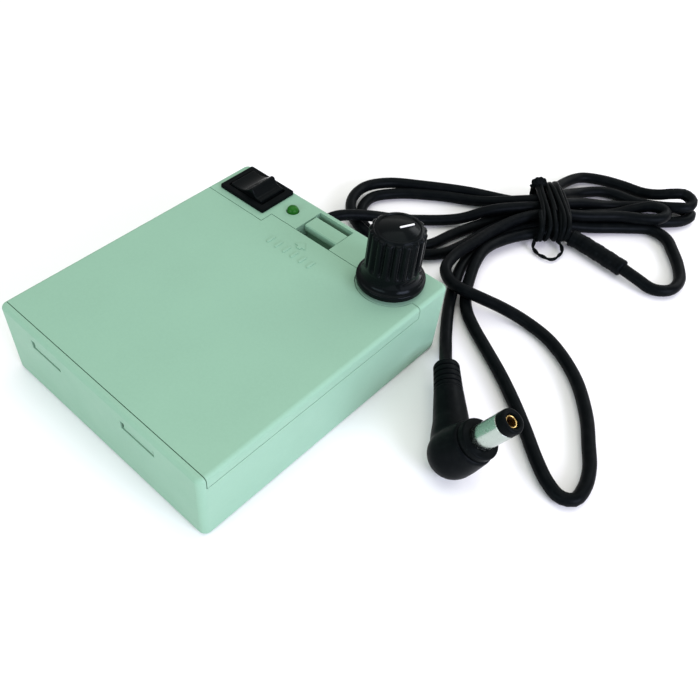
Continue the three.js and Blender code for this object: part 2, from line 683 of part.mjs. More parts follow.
function plugBody() {
  const rear = [];
  for (let k = 1; k <= 6; k += 1) {
    const angle = (k / 6) * (Math.PI / 2);
    rear.push([HEAD_R * Math.sin(angle), -HEAD_R * Math.cos(angle)]);
  }
  const front = [
    [HEAD_R - 0.2, 3.0], [COLLAR_R + 0.2, COLLAR_AT - 1.9], [COLLAR_R - 0.1, COLLAR_AT - 1.7],
    [COLLAR_R - 0.1, COLLAR_AT - 1.3], [COLLAR_R, COLLAR_AT - 1.2], [COLLAR_R, COLLAR_AT - 0.3],
    [COLLAR_R - 0.3, COLLAR_AT], [0, COLLAR_AT],
  ];
  const head = solid(alongBarrel([[0, -HEAD_R], ...rear, ...front]));
  const seatR = BARREL_R + 0.05;
  const seat = [[0, COLLAR_AT - 1], [seatR, COLLAR_AT - 1], [seatR, COLLAR_AT + 1], [0, COLLAR_AT + 1]];
  return head.add(plugBoot()).subtract(solid(alongBarrel(seat)));
}

function tube(outer, inner, from, to, floor) {
  const bar = solid(alongBarrel([[0, from], [outer, from], [outer, to], [0, to]]));
  return bar.subtract(solid(alongBarrel([[0, floor], [inner, floor], [inner, to + 1], [0, to + 1]], 20)));
}

function plugBarrel() {
  return tube(BARREL_R, 1.9, COLLAR_AT - 0.95, BARREL_END, COLLAR_AT + 0.6);
}

function plugTip() {
  const low = BARREL_END + 0.05;
  const nose = [
    [0, low], [BARREL_R, low], [BARREL_R, PLUG_TIP - 0.5], [BARREL_R - 0.4, PLUG_TIP], [0, PLUG_TIP],
  ];
  const bore = [[0, low - 1], [1.5, low - 1], [1.5, PLUG_TIP + 1], [0, PLUG_TIP + 1]];
  return solid(alongBarrel(nose)).subtract(solid(alongBarrel(bore, 20)));
}

function plugContact() {
  return tube(1.35, 1.05, COLLAR_AT + 0.8, PLUG_TIP - 0.4, COLLAR_AT + 2.4);
}

// ---------- assembly ----------
add('case_body', caseBody(), materials.shell);
add('base_plate', basePlate(), materials.shell);
add('base_screw_left', baseScrew(-1), materials.nickel);
add('base_screw_right', baseScrew(1), materials.nickel);
add('battery_cover', batteryCover(), materials.shell);
add('cover_latch', coverLatch(), materials.shell);
addCells();
addContacts();

add('switch_housing', switchHousing(), materials.blackMatte);
add('switch_rocker', switchRocker(), materials.blackGloss);
for (let i = 0; i < 3; i += 1) add(`switch_terminal_${i + 1}`, switchTerminal(i), materials.brass);

add('led_lamp', ledLamp(), materials.ledGreen, (g) => (
  g.rotateX(Math.PI / 2).translate(LED_AT[0], LED_AT[1], 0)
));
add('led_lead_long', ledLead(-1), materials.nickel);
add('led_lead_short', ledLead(1), materials.nickel);

add('pot_body', potBody(), materials.blackMatte);
add('pot_bushing', ring(3.5, 3.05, [POT_TOP + 0.05, CASE_HEIGHT + 2.2]), materials.brass);
add('pot_washer', ring(5.2, 3.7, [CASE_HEIGHT + 0.05, CASE_HEIGHT + 0.45]), materials.nickel);
add('pot_nut', ring(5.6, 3.7, [CASE_HEIGHT + 0.5, CASE_HEIGHT + 2.0], 6), materials.nickel);
add('pot_shaft', potShaft(), materials.nickel);
for (let i = 0; i < 3; i += 1) add(`pot_terminal_${i + 1}`, potTerminal(i), materials.brass);
add('knob_body', knobBody(), materials.blackGloss);
add('knob_pointer', pointerBar(0), materials.white);

add('circuit_board', circuitBoard(), materials.board);
add('board_transistor', block([-3, 1.6], [27.4, 29.4], [BOARD_TOP + 0.05, 8.2]), materials.blackMatte);
add('board_capacitor', upright(1.9, [BOARD_TOP + 0.05, 8.4], [10.0, 29.5], 20), materials.cellWrap);
add('board_choke', block([14, 17.5], [30, 33.5], [BOARD_TOP + 0.05, 7.4]), materials.blackMatte);
for (const [name, route] of Object.entries(WIRES)) {
  const insulation = name === 'wire_battery_plus' ? materials.wireRed : materials.blackMatte;
  add(name, sweep(route, WIRE_R, 6, 3 * route.length), insulation);
}

add('cord_gland', gland(), materials.cordVinyl);
add('cord_lead_out', placed(sweep(LEAD_OUT, CORD_R, 8, 2)), materials.cordVinyl);
add('cord_hank', placed(hankSolid()), materials.cordVinyl);
add('cord_long_loop', placed(sweep(LONG_LOOP, CORD_R, 8, 38)), materials.cordVinyl);
add('cord_side_loop', placed(sweep(SIDE_LOOP, CORD_R, 8, 8)), materials.cordVinyl);
add('cord_plug_lead', placed(sweep(PLUG_LEAD, CORD_R, 8, 7)), materials.cordVinyl);
add('cord_sleeve', placed(sweep(SLEEVE, 2.3, 10, 4)), materials.cordVinyl);
add('twist_tie', placed(twistTie()), materials.blackMatte);
add('plug_body', plugBody(), materials.cordVinyl);
add('plug_barrel', plugBarrel(), materials.nickel);
add('plug_tip', plugTip(), materials.blackMatte);
add('plug_contact', plugContact(), materials.brass);

export default group;
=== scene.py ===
"""A battery-box controller for a model train set, with its tied-up lead and barrel plug."""
import json
from math import copysign, cos, pi, radians, sin

import bmesh
import bpy
import numpy as np
from mathutils import Matrix, Vector

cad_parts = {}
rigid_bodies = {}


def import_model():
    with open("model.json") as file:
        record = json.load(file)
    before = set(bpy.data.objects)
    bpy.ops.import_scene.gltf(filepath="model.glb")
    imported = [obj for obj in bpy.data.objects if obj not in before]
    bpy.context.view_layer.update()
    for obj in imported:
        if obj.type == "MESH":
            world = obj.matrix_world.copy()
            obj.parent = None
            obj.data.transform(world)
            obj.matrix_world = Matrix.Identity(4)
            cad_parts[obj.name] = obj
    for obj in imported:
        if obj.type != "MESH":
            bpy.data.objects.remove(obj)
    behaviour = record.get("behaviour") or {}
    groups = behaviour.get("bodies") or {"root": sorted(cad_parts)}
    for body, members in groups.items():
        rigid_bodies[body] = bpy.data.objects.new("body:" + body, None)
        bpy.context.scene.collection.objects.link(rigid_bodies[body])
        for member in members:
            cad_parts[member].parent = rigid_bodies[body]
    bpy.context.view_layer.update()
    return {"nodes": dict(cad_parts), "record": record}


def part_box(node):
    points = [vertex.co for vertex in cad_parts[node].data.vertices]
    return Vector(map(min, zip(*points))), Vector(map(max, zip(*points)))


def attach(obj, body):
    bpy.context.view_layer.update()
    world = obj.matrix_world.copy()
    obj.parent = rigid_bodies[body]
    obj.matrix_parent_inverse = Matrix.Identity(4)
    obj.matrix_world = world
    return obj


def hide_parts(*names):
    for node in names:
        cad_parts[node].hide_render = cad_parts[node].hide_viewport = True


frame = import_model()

MM = 0.001


def show(obj):
    bpy.context.collection.objects.link(obj)


# ---------- camera ----------
CAMERA_AZIMUTH = 43.12
CAMERA_ELEVATION = 50.97
CAMERA_ROLL = 1.80
CAMERA_LENS = 39.4
CAMERA_SHIFT = (0.100, 0.069)
CAMERA_AT = Vector((92.56, -81.23, 135.1)) * MM
CAMERA_SENSOR = 36
CAMERA_RANGE = (0.01, 20)


def make_camera():
    """A view from the front right, looking down on the control deck."""
    azimuth = radians(CAMERA_AZIMUTH)
    elevation = radians(CAMERA_ELEVATION)
    roll = radians(CAMERA_ROLL)
    back = Vector((
        sin(azimuth) * cos(elevation),
        -cos(azimuth) * cos(elevation),
        sin(elevation),
    ))
    level = Vector((0, 0, 1)).cross(back).normalized()
    upright = back.cross(level)
    right = level * cos(roll) + upright * sin(roll)
    up = upright * cos(roll) - level * sin(roll)
    data = bpy.data.cameras.new("camera")
    data.lens = CAMERA_LENS
    data.sensor_width = CAMERA_SENSOR
    data.shift_x, data.shift_y = CAMERA_SHIFT
    data.clip_start, data.clip_end = CAMERA_RANGE
    camera = bpy.data.objects.new("camera", data)
    camera.matrix_world = Matrix.Translation(CAMERA_AT) @ Matrix((right, up, back)).transposed().to_4x4()
    show(camera)
    bpy.context.scene.camera = camera


# ---------- the lead's route ----------
CORD_RADIUS = 1.5
CORD_LIES = 1.6
HANK_CENTRE = (24.0, 98.0)
HANK_HEADING = radians(45)

# From the gland to the plug, as (along, across, height) in millimetres from the middle of the tied
# hank, with its length along the first axis. The tie is at along = 0. A point without a height is on
# the floor.
CORD_ROUTE = [
    # out of the gland and into the hank's left lobe
    (-62.9, -11.3, 7.4), (-59.2, -8.9, 7.2), (-54.5, -7.5, 6.6), (-49, -6.4, 5.4), (-43, -4.6, 3.2),
    (-36, -3.2, 1.7), (-24, -2.7, 1.8), (-14, -2.1, 4.6),
    # first round: right lobe, then left lobe
    (0, -0.8, 5.1), (9, 1.6, 3.9), (19, 4, 1.7), (26, 3.7, 2), (32, 1.8, 3.4), (37, 0, 4.5), (40, 0, 4.6),
    (41.6, 2.3, 5), (40.2, 4.8, 5.4), (37, 5.4, 5.2), (33.6, 6.6, 4), (30.7, 9.6, 2.4), (26.1, 14.2),
    (20.8, 16.8), (15.1, 17.8), (9.4, 14.6, 2), (5.6, 10.2, 2.8), (2.6, 5.8, 3), (-1.8, 3.9, 2.5),
    (-9, 6, 1.9), (-20, 9.6, 2), (-32, 11.6, 2.4), (-43, 12.4, 2.8), (-50, 9.6, 3.2), (-53.8, 4, 3.3),
    (-54.3, -2.5, 3.3), (-52, -8.6, 3), (-47, -13.6, 2.4), (-40, -16.8, 1.8), (-32, -17.2, 1.5),
    (-24, -13.2, 1.5), (-16, -7.6, 1.8), (-8, -3.8, 2.4),
    # second round
    (0, -2.4, 2.5), (10, -2.4, 1.7), (21, -2.6), (29, -2.8), (35, -2.8), (39.2, -2), (42, 0.5), (40, 3.2),
    (36.6, 3.9), (33.2, 4.3), (29.4, 5.3), (26.2, 7.2), (23.3, 9.6), (19.2, 11), (11.6, 9.9, 1.8),
    (5.2, 5.6, 4), (0, 2.4, 5.1), (-8, 3.8, 3.4), (-17, 6), (-28, 8.3, 1.5), (-40, 9.2, 1.5),
    (-47.7, 7.2, 1.5), (-51.2, 1.8, 1.5), (-51.4, -4.5, 1.5), (-48.7, -9.9, 1.5), (-42.7, -13.5, 1.5),
    (-35, -13.8, 1.5), (-27, -8.9, 1.5), (-19, -4.4, 1.5), (-10, -0.4, 1.9),
    # third round, then the long loop beside the case
    (0, 0.8, 2.5), (10, 0.8, 1.7), (20, 0.9), (25, 1.2, 2.8), (29.4, 0.7, 4.3), (32.2, -1, 4.6),
    (32.4, -3.6, 4.7), (30, -5.3, 4.6), (26, -5.2, 4.4), (19, -3.9, 4.2), (9, -4.2, 4.4), (0, -4, 5.1),
    (-9, -6.4, 5), (-16, -10.6, 4.7), (-22.5, -16, 4.6), (-28, -20.4, 4.6), (-31.6, -25.2, 4.7),
    (-32.3, -28, 4.8), (-31.4, -32, 4.8), (-28.4, -34.8, 4.6), (-24.4, -36.8, 4), (-19.4, -38.8, 2.8),
    (-14.2, -42.2, 1.7), (-9.4, -49), (-6.4, -60), (-6.6, -71.4), (-8.2, -79.6), (-9.6, -85.6),
    (-11.9, -90.4), (-14.8, -93.3), (-17.6, -92.6), (-19.4, -89), (-20.4, -83.6), (-21.2, -75), (-22.2, -67),
    (-23.6, -59.2), (-25.5, -51.4), (-27.2, -44.4), (-28, -38.4, 1.7), (-27.2, -32.4, 1.9),
    (-25.4, -27, 2.5), (-23.6, -22.6, 3.1), (-20.2, -16.9, 3.2), (-15.4, -12.8, 2.6), (-8, -9.9, 2.4),
    # the sleeved side loop
    (0, -8.8, 2.5), (5.2, -11.2, 2.4), (9.6, -16.2, 2.5), (12.5, -19.9, 2.5), (15.2, -23.4, 2.5),
    (17.8, -26.8, 2.3), (21.4, -30.2), (25.6, -30.6), (29.2, -27.4), (31, -21.6), (31.6, -15), (31.5, -10),
    (28.7, -6, 1.5), (22, -5.3, 1.5), (12, -5.4),
    # back through the tie and out to the plug
    (0, -5.6, 2.5), (-9, -7, 2), (-16, -10.4, 1.5), (-22.2, -15.6, 1.5), (-27, -22.8), (-29, -27.4),
    (-31.2, -33.6), (-33, -40.2), (-34.4, -47), (-35.3, -52.3, 2), (-36.1, -56.2, 3.2),
    (-36.75, -59.95, 4.6), (-36.9, -61.2, 4.7),
]


def from_hank(along, across, height=CORD_LIES):
    """A point given from the middle of the hank, in metres from the middle of the case's underside."""
    c, s = cos(HANK_HEADING), sin(HANK_HEADING)
    x = HANK_CENTRE[0] + c * along - s * across
    y = HANK_CENTRE[1] + s * along + c * across
    return np.array((x, y, height)) * MM


def between(p, q, start, end, mark):
    """The point between p, at start, and q, at end, that belongs to a mark."""
    return p * (end - mark) / (end - start) + q * (mark - start) / (end - start)


def smooth_line(points, step):
    """A centripetal Catmull-Rom curve through the points, sampled about every step."""
    points = np.asarray(points, float)
    ends = np.vstack([2 * points[0] - points[1], points, 2 * points[-1] - points[-2]])
    line = []
    for four in zip(ends, ends[1:], ends[2:], ends[3:]):
        spans = list(zip(four, four[1:]))
        knots = np.cumsum([0, *(np.sqrt(np.linalg.norm(q - p)) for p, q in spans)])
        count = max(1, round(np.linalg.norm(four[2] - four[1]) / step))
        for mark in np.linspace(knots[1], knots[2], count, endpoint=False):
            first, second, third = (between(p, q, *knots[k:k + 2], mark) for k, (p, q) in enumerate(spans))
            front = between(first, second, knots[0], knots[2], mark)
            rear = between(second, third, knots[1], knots[3], mark)
            line.append(between(front, rear, knots[1], knots[2], mark))
    line.append(points[-1])
    return np.array(line)


def even_line(line, step):
    """The same line with its points an even step apart."""
    reach = np.concatenate([[0], np.cumsum(np.linalg.norm(np.diff(line, axis=0), axis=1))])
    marks = np.linspace(0, reach[-1], round(reach[-1] / step) + 1)
    return np.stack([np.interp(marks, reach, line[:, k]) for k in range(3)], axis=1)


SETTLE_ROUNDS = 80
SETTLE_APART = 2.02
SETTLE_NEIGHBOURS = 2.6
SETTLE_PUSH = 0.6
SETTLE_EASE = 0.5


def settle(line, radius, held):
    """Moves touching stretches of the line a diameter apart, smoothly, and keeps it off the floor."""
    step = np.linalg.norm(line[1] - line[0])
    apart = SETTLE_APART * radius
    gap = round(SETTLE_NEIGHBOURS * apart / step)
    index = np.arange(len(line))
    far = np.abs(index[:, None] - index[None, :]) > gap
    offset = np.zeros_like(line)
    for _ in range(SETTLE_ROUNDS):
        now = line + offset
        away = now[:, None, :] - now[None, :, :]
        distance = np.linalg.norm(away, axis=2)
        close = far & (distance < apart)
        push = np.where(close, (apart - distance) / np.maximum(distance, 1e-9), 0)
        touching = np.maximum(close.sum(axis=1), 1)
        offset += SETTLE_PUSH * (push[:, :, None] * away).sum(axis=1) / touching[:, None]
        offset[:, 2] = np.maximum(offset[:, 2], radius - line[:, 2])
        offset[1:-1] += SETTLE_EASE * ((offset[:-2] + offset[2:]) / 2 - offset[1:-1])
        offset[:held] = 0
        offset[-held:] = 0
    return line + offset


# ---------- building blocks, in millimetres ----------
def box_mm(node):
    """A node's lowest and highest corners, in millimetres."""
    low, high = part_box(node)
    return Vector(low) / MM, Vector(high) / MM


def middle_mm(node):
    low, high = box_mm(node)
    return (low + high) / 2


def about(middle, half):
    """The pair of coordinates half to either side of the middle."""
    return middle - half, middle + half


def block(x, y, z):
    """A box between pairs of coordinates."""
    points = [(px, py, pz) for pz in z for py in y for px in x]
    faces = [(0, 2, 3, 1), (4, 5, 7, 6), (0, 1, 5, 4), (2, 6, 7, 3), (0, 4, 6, 2), (1, 3, 7, 5)]
    return points, faces


def stack(rings, loop=False):
    """Skin over rings of equally many points, capped at both ends unless it closes on itself."""
    count = len(rings[0])
    points = [tuple(point) for ring in rings for point in ring]
    faces = []
    for low in range(len(rings) if loop else len(rings) - 1):
        high = (low + 1) % len(rings)
        for k in range(count):
            after = (k + 1) % count
            faces.append((low * count + k, low * count + after, high * count + after, high * count + k))
    if not loop:
        faces.append(tuple(reversed(range(count))))
        faces.append(tuple(range(len(points) - count, len(points))))
    return points, faces


def prism(outline, z):
    """A flat outline raised between two heights."""
    return stack([[(x, y, height) for x, y in outline] for height in z])


def turned(profile, at=(0, 0), sides=48, loop=False):
    """A profile of (radius, height) turned about a vertical axis, solid or as a bored ring."""
    angles = [2 * pi * k / sides for k in range(sides)]
    rings = [[(at[0] + r * cos(a), at[1] + r * sin(a), z) for a in angles] for r, z in profile]
    return stack(rings, loop)


def rod(radius, z, at, sides=48):
    return turned([(radius, z[0]), (radius, z[1])], at, sides)


def posed(at, angle, axis):
    """Turned about an axis, then carried to its place."""
    return Matrix.Translation(at) @ Matrix.Rotation(angle, 4, axis)


def moved(shape, matrix):
    points, faces = shape
    return [tuple(matrix @ Vector(point)) for point in points], faces


def rounded_outline(width, length, radius, steps=6):
    outline = []
    for sx, sy, start in ((1, -1, -90), (1, 1, 0), (-1, 1, 90), (-1, -1, 180)):
        for k in range(steps + 1):
            angle = radians(start + 90 * k / steps)
            x = sx * (width / 2 - radius) + radius * cos(angle)
            outline.append((x, sy * (length / 2 - radius) + radius * sin(angle)))
    return outline


ROUND_STEPS = 6
SMALLEST_CORNER = 0.2


def rounded_block(width, length, z, corner, edge, low_edge):
    """A block with rounded corners, and rounded edges at its top and bottom."""
    turns = [pi / 2 * k / ROUND_STEPS for k in range(ROUND_STEPS + 1)]
    rings = [(low_edge * (1 - sin(a)), z[0] + low_edge * (1 - cos(a))) for a in turns]
    rings += [(edge * (1 - cos(a)), z[1] - edge * (1 - sin(a))) for a in turns]
    skin = []
    for inset, height in rings:
        radius = max(corner - inset, SMALLEST_CORNER)
        outline = rounded_outline(width - 2 * inset, length - 2 * inset, radius)
        skin.append([(x, y, height) for x, y in outline])
    return stack(skin)


def sweep(line, radius, sides):
    """A tube along the line. The radius is a number, or one for each point."""
    line = np.asarray(line, float)
    radii = np.broadcast_to(radius, len(line))
    tangents = np.gradient(line, axis=0)
    tangents /= np.linalg.norm(tangents, axis=1)[:, None]
    side = np.cross(tangents[0], (0, 0, 1) if abs(tangents[0][2]) < 0.9 else (1, 0, 0))
    rings = []
    for point, tangent, size in zip(line, tangents, radii):
        side = side - tangent * side.dot(tangent)
        side /= np.linalg.norm(side)
        up = np.cross(side, tangent)
        angles = 2 * np.pi * np.arange(sides) / sides
        rings.append([tuple(point + size * (cos(a) * side + sin(a) * up)) for a in angles])
    return stack(rings)


def as_object(shape, name="work"):
    points, faces = shape
    mesh = bpy.data.meshes.new(name)
    mesh.from_pydata(points, [], faces)
    work = bmesh.new()
    work.from_mesh(mesh)
    bmesh.ops.recalc_face_normals(work, faces=work.faces)
    work.to_mesh(mesh)
    work.free()
    return bpy.data.objects.new(name, mesh)


def with_modifiers(obj):
    """The object's mesh with its modifiers applied."""
    show(obj)
    graph = bpy.context.evaluated_depsgraph_get()
    mesh = bpy.data.meshes.new_from_object(obj.evaluated_get(graph))
    bpy.data.objects.remove(obj)
    return mesh


def combine(shape, tools, operation):
    """Cuts the tools out of the shape, joins them to it, or keeps what they share."""
    group = bpy.data.collections.new("tools")
    bpy.context.scene.collection.children.link(group)
    for tool in tools:
        group.objects.link(as_object(tool))
    obj = as_object(shape)
    cutter = obj.modifiers.new("combine", "BOOLEAN")
    cutter.operation = operation
    cutter.operand_type = "COLLECTION"
    cutter.collection = group
    cutter.solver = "EXACT"
    mesh = with_modifiers(obj)
    for tool in list(group.objects):
        bpy.data.objects.remove(tool)
    bpy.data.collections.remove(group)
    points = [tuple(vertex.co) for vertex in mesh.vertices]
    faces = [tuple(polygon.vertices) for polygon in mesh.polygons]
    bpy.data.meshes.remove(mesh)
    return points, faces


def cut(shape, *tools):
    return combine(shape, tools, "DIFFERENCE")


def join(shape, *tools):
    return combine(shape, tools, "UNION")


def common(shape, *tools):
    return combine(shape, tools, "INTERSECT")


def finish_piece(obj, body, slot, nodes=()):
    """Puts the finished object in the scene, on its body, with its slot's material."""
    obj.data.materials.clear()
    obj.data.materials.append(MATERIALS[slot])
    show(obj)
    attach(obj, body)
    if nodes:
        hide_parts(*nodes)


EASE_ROUNDS = 10
SHARP_OVER_CREASE = 8


def make_piece(name, shape, slot, nodes=(), body="case", bevel=0.0, segments=2, crease=32, soften=0):
    """A shape with its sharp edges broken by a bevel, shaded smooth between its creases."""
    obj = as_object(shape, name + "_draft")
    if bevel:
        edge = obj.modifiers.new("edges", "BEVEL")
        edge.width = bevel
        edge.segments = segments
        edge.limit_method = "ANGLE"
        edge.angle_limit = radians(crease)
        edge.miter_outer = "MITER_ARC"
    if soften:
        skin = obj.modifiers.new("skin", "REMESH")
        skin.mode = "VOXEL"
        skin.voxel_size = soften
        ease = obj.modifiers.new("ease", "SMOOTH")
        ease.iterations = EASE_ROUNDS
    mesh = with_modifiers(obj)
    mesh.transform(Matrix.Scale(MM, 4))
    mesh.shade_smooth()
    if not soften:
        mesh.set_sharp_from_angle(angle=radians(crease + SHARP_OVER_CREASE))
        mesh = weighted(mesh)
    mesh.name = name
    finish_piece(bpy.data.objects.new(name, mesh), body, slot, nodes)


def weighted(mesh):
    """Normals weighted by face area, so that wide flat faces stay flat beside rounded edges."""
    obj = bpy.data.objects.new("weighted", mesh)
    normals = obj.modifiers.new("normals", "WEIGHTED_NORMAL")
    normals.keep_sharp = True
    normals.weight = 80
    return with_modifiers(obj)


# ---------- materials ----------
# The colour sockets of a mix node.
MIX_FIRST, MIX_SECOND, MIX_RESULT = 6, 7, 2


class Surface:
    """A Principled material with helpers that add its colour, gloss and relief nodes."""

    def __init__(self, name, colour, roughness, **sockets):
        self.material = bpy.data.materials.new(name)
        self.material.use_nodes = True
        self.tree = self.material.node_tree
        self.shader = self.tree.nodes["Principled BSDF"]
        self.colour = colour
        for socket, value in dict(Base_Color=(*colour, 1), Roughness=roughness, **sockets).items():
            self.shader.inputs[socket.replace("_", " ")].default_value = value
        self.place = self.node("ShaderNodeTexCoord").outputs["Object"]
        self.height = None

    def node(self, kind, **inputs):
        made = self.tree.nodes.new(kind)
        for name, value in inputs.items():
            self.feed(made.inputs[name.replace("_", " ")], value)
        return made

    def feed(self, socket, value):
        if isinstance(value, bpy.types.NodeSocket):
            self.tree.links.new(value, socket)
        else:
            socket.default_value = value

    def noise(self, size_mm, detail):
        """Noise from 0 to 1 whose features are about size_mm across."""
        scaled = self.node("ShaderNodeVectorMath", Vector=self.place)
        scaled.operation = "MULTIPLY"
        scaled.inputs[1].default_value = [1 / (size_mm * MM)] * 3
        made = self.node("ShaderNodeTexNoise", Vector=scaled.outputs[0], Scale=1.0, Detail=detail)
        return made.outputs["Fac"]

    def cells(self, size_mm):
        """Distance from the middle of each of many grains about size_mm across."""
        found = self.node("ShaderNodeTexVoronoi", Vector=self.place, Scale=1 / (size_mm * MM))
        return found.outputs["Distance"]

    def pattern(self, sizes):
        return self.noise(*sizes) if len(sizes) > 1 else self.cells(*sizes)

    def spread(self, value, low, high, start=0.3, end=0.7):
        """value remapped from start..end to low..high."""
        made = self.node("ShaderNodeMapRange", Value=value, From_Min=start, From_Max=end)
        self.feed(made.inputs["To Min"], low)
        self.feed(made.inputs["To Max"], high)
        return made.outputs["Result"]

    def tint(self, value, other, amount=1.0, start=0.3, end=0.7):
        """Mixes the base colour towards another one where value is high."""
        share = self.spread(value, 0.0, amount, start, end)
        mix = self.node("ShaderNodeMix")
        mix.data_type = "RGBA"
        base = self.shader.inputs["Base Color"]
        first = base.links[0].from_socket if base.links else (*self.colour, 1)
        self.feed(mix.inputs["Factor"], share)
        self.feed(mix.inputs[MIX_FIRST], first)
        self.feed(mix.inputs[MIX_SECOND], (*other, 1))
        self.feed(base, mix.outputs[MIX_RESULT])

    def gloss(self, value, low, high, start=0.3, end=0.7):
        """Varies the roughness from low to high with value."""
        self.feed(self.shader.inputs["Roughness"], self.spread(value, low, high, start, end))

    def relief(self, value, depth_mm, strength=1.0):
        """Adds a bump of about depth_mm. Several stack."""
        bump = self.node("ShaderNodeBump", Height=value, Distance=depth_mm * MM, Strength=strength)
        if self.height:
            self.feed(bump.inputs["Normal"], self.height)
        self.height = bump.outputs["Normal"]
        self.feed(self.shader.inputs["Normal"], self.height)


MATERIALS = {}


def material(name, colour, roughness, tints, gloss=None, reliefs=(), **sockets):
    """A surface in layers: tints (pattern, colour, amount), gloss (pattern, low, high) and reliefs
    (pattern, depth, strength). A pattern is noise, as (size, detail), or grains, as (size,)."""
    made = Surface(name, colour, roughness, **sockets)
    for pattern, *rest in tints:
        made.tint(made.pattern(pattern), *rest)
    if gloss:
        made.gloss(made.pattern(gloss[0]), *gloss[1:])
    for pattern, *rest in reliefs:
        made.relief(made.pattern(pattern), *rest)
    MATERIALS[name] = made.material


def shade(colour, share):
    return [share * c for c in colour]


SHELL_GREEN = (0.231, 0.406, 0.292)
MOULD_BLACK, MOULD_WORN = (0.0018, 0.0026, 0.0028), (0.0036, 0.0042, 0.0046)
COOL_SHEEN = (0.8, 0.94, 1.0, 1)

# Pale grey-green moulded shell: a fine spark-eroded texture and slight handling marks.
material(
    "shell_plastic", SHELL_GREEN, 0.46,
    [((14, 4), shade(SHELL_GREEN, 0.93), 0.5), ((0.5, 2), shade(SHELL_GREEN, 1.06), 0.35)],
    ((9, 5), 0.4, 0.52), [((0.22, 3), 0.012, 0.5)], Specular_IOR_Level=0.25,
)
# Black moulded plastic with a fine grain, from matte to polished.
for name, rough, grain, depth, shine in (
    ("black_matte", 0.42, 0.25, 0.012, 0.03),
    ("black_gloss", 0.18, 0.6, 0.004, 0.06),
    ("tie_wire", 0.38, 0.3, 0.01, 0.03),
):
    material(
        name, MOULD_BLACK, rough, [((3, 3), MOULD_WORN, 0.6)], ((2.2, 4), rough * 0.8, rough * 1.25),
        [((grain, 2), depth, 0.5)], Specular_IOR_Level=shine, Specular_Tint=COOL_SHEEN,
    )
# Soft black jacket: satin, with faint draw lines and a little dust.
material(
    "cord_vinyl", (0.0015, 0.0021, 0.0026), 0.42, [((1.6, 5), (0.006, 0.0068, 0.0072), 0.5, 0.45, 0.8)],
    ((3.5, 4), 0.34, 0.5), [((0.35, 3), 0.01, 0.4), ((2.4, 2), 0.05, 0.35)],
    Specular_IOR_Level=0.04, Specular_Tint=COOL_SHEEN,
)
# Plated or bare metal with fine working marks.
for name, colour, low, high in (
    ("nickel", (0.55, 0.55, 0.53), 0.22, 0.4),
    ("contact_nickel", (0.6, 0.6, 0.57), 0.2, 0.36),
    # plug_metal's colour is tinted green: a painted reflection of the green case, not the plating's own
    # colour
    ("plug_metal", (0.44, 0.5, 0.45), 0.14, 0.3),
    ("brass", (0.58, 0.4, 0.15), 0.2, 0.36),
):
    material(
        name, colour, low, [((4, 3), shade(colour, 0.86), 0.5)], ((0.6, 4), low, high),
        [((0.25, 3), 0.006, 0.4)], Metallic=1.0,
    )
# Clear green lens: deep colour, polished.
material(
    "led_green", (0.006, 0.085, 0.005), 0.3, [((0.8, 2), (0.02, 0.16, 0.012), 0.5)],
    ((0.5, 2), 0.24, 0.36), [((0.4, 2), 0.005, 0.3)], Specular_IOR_Level=0.15,
)
# White paint filled into a slot.
material(
    "pointer_white", (0.82, 0.82, 0.8), 0.45, [((0.3, 3), (0.66, 0.66, 0.64), 0.5)],
    reliefs=[((0.15, 2), 0.01, 0.5)],
)
# Solder resist over tracks.
material(
    "circuit_board", (0.02, 0.12, 0.045), 0.35, [((1.8,), (0.03, 0.2, 0.07), 0.7, 0.2, 0.5)],
    ((1.0, 2), 0.28, 0.42), [((1.8,), 0.03, 0.5)],
)
# Plain coloured plastic with a slight mottle.
for name, colour, rough in (
    ("cell_can", (0.03, 0.034, 0.042), 0.3),
    ("capacitor_sleeve", (0.015, 0.018, 0.04), 0.3),
    ("wire_red", (0.3, 0.012, 0.01), 0.4),
    ("wire_black", (0.012, 0.012, 0.012), 0.4),
):
    material(
        name, colour, rough, [((1.2, 3), shade(colour, 0.8), 0.6)], ((0.8, 3), rough * 0.8, rough * 1.2),
        [((0.3, 2), 0.01, 0.4)],
    )
material("floor", (0.93, 0.93, 0.93), 0.7, [((60, 3), (0.9, 0.9, 0.9), 0.5)])


# ---------- the lead ----------
DRAW_STEP = 0.0005
CORD_STEP = 0.0012
CORD_HELD = 6
CORD_ROUNDNESS = 6


def make_lead():
    """The output lead as one limp curve from the gland to the plug."""
    points = np.array([from_hank(*point) for point in CORD_ROUTE])
    line = even_line(smooth_line(points, DRAW_STEP), CORD_STEP)
    line = settle(line, CORD_RADIUS * MM, CORD_HELD)
    curve = bpy.data.curves.new("lead", "CURVE")
    curve.dimensions = "3D"
    curve.bevel_depth = CORD_RADIUS * MM
    curve.bevel_resolution = CORD_ROUNDNESS
    curve.use_fill_caps = True
    spline = curve.splines.new("POLY")
    spline.points.add(len(line) - 1)
    spline.points.foreach_set("co", np.c_[line, np.ones(len(line))].ravel())
    spline.use_smooth = True
    lead = bpy.data.objects.new("lead", curve)
    finish_piece(lead, "case", "cord_vinyl", [
        "cord_lead_out", "cord_hank", "cord_long_loop", "cord_side_loop", "cord_plug_lead",
    ])
    return lead, line


# ---------- case, cover and latch ----------
HALF_W, HALF_L, CASE_TOP = box_mm("case_body")[1]
CASE_CORNER, CASE_EDGE, CASE_FOOT_EDGE = 1.7, 1.0, 0.8
WALL = 1.6
DECK_THICK = 1.8
INNER_X, INNER_Y = HALF_W - WALL, HALF_L - WALL
DECK_UNDER = CASE_TOP - DECK_THICK
KNOB_AT = middle_mm("pot_shaft")
SWITCH_AT = middle_mm("switch_housing")
LAMP_AT = middle_mm("led_lamp")
GLAND_AT = middle_mm("cord_gland")
CELLS = [middle_mm(f"cell_{k}") for k in range(1, 5)]

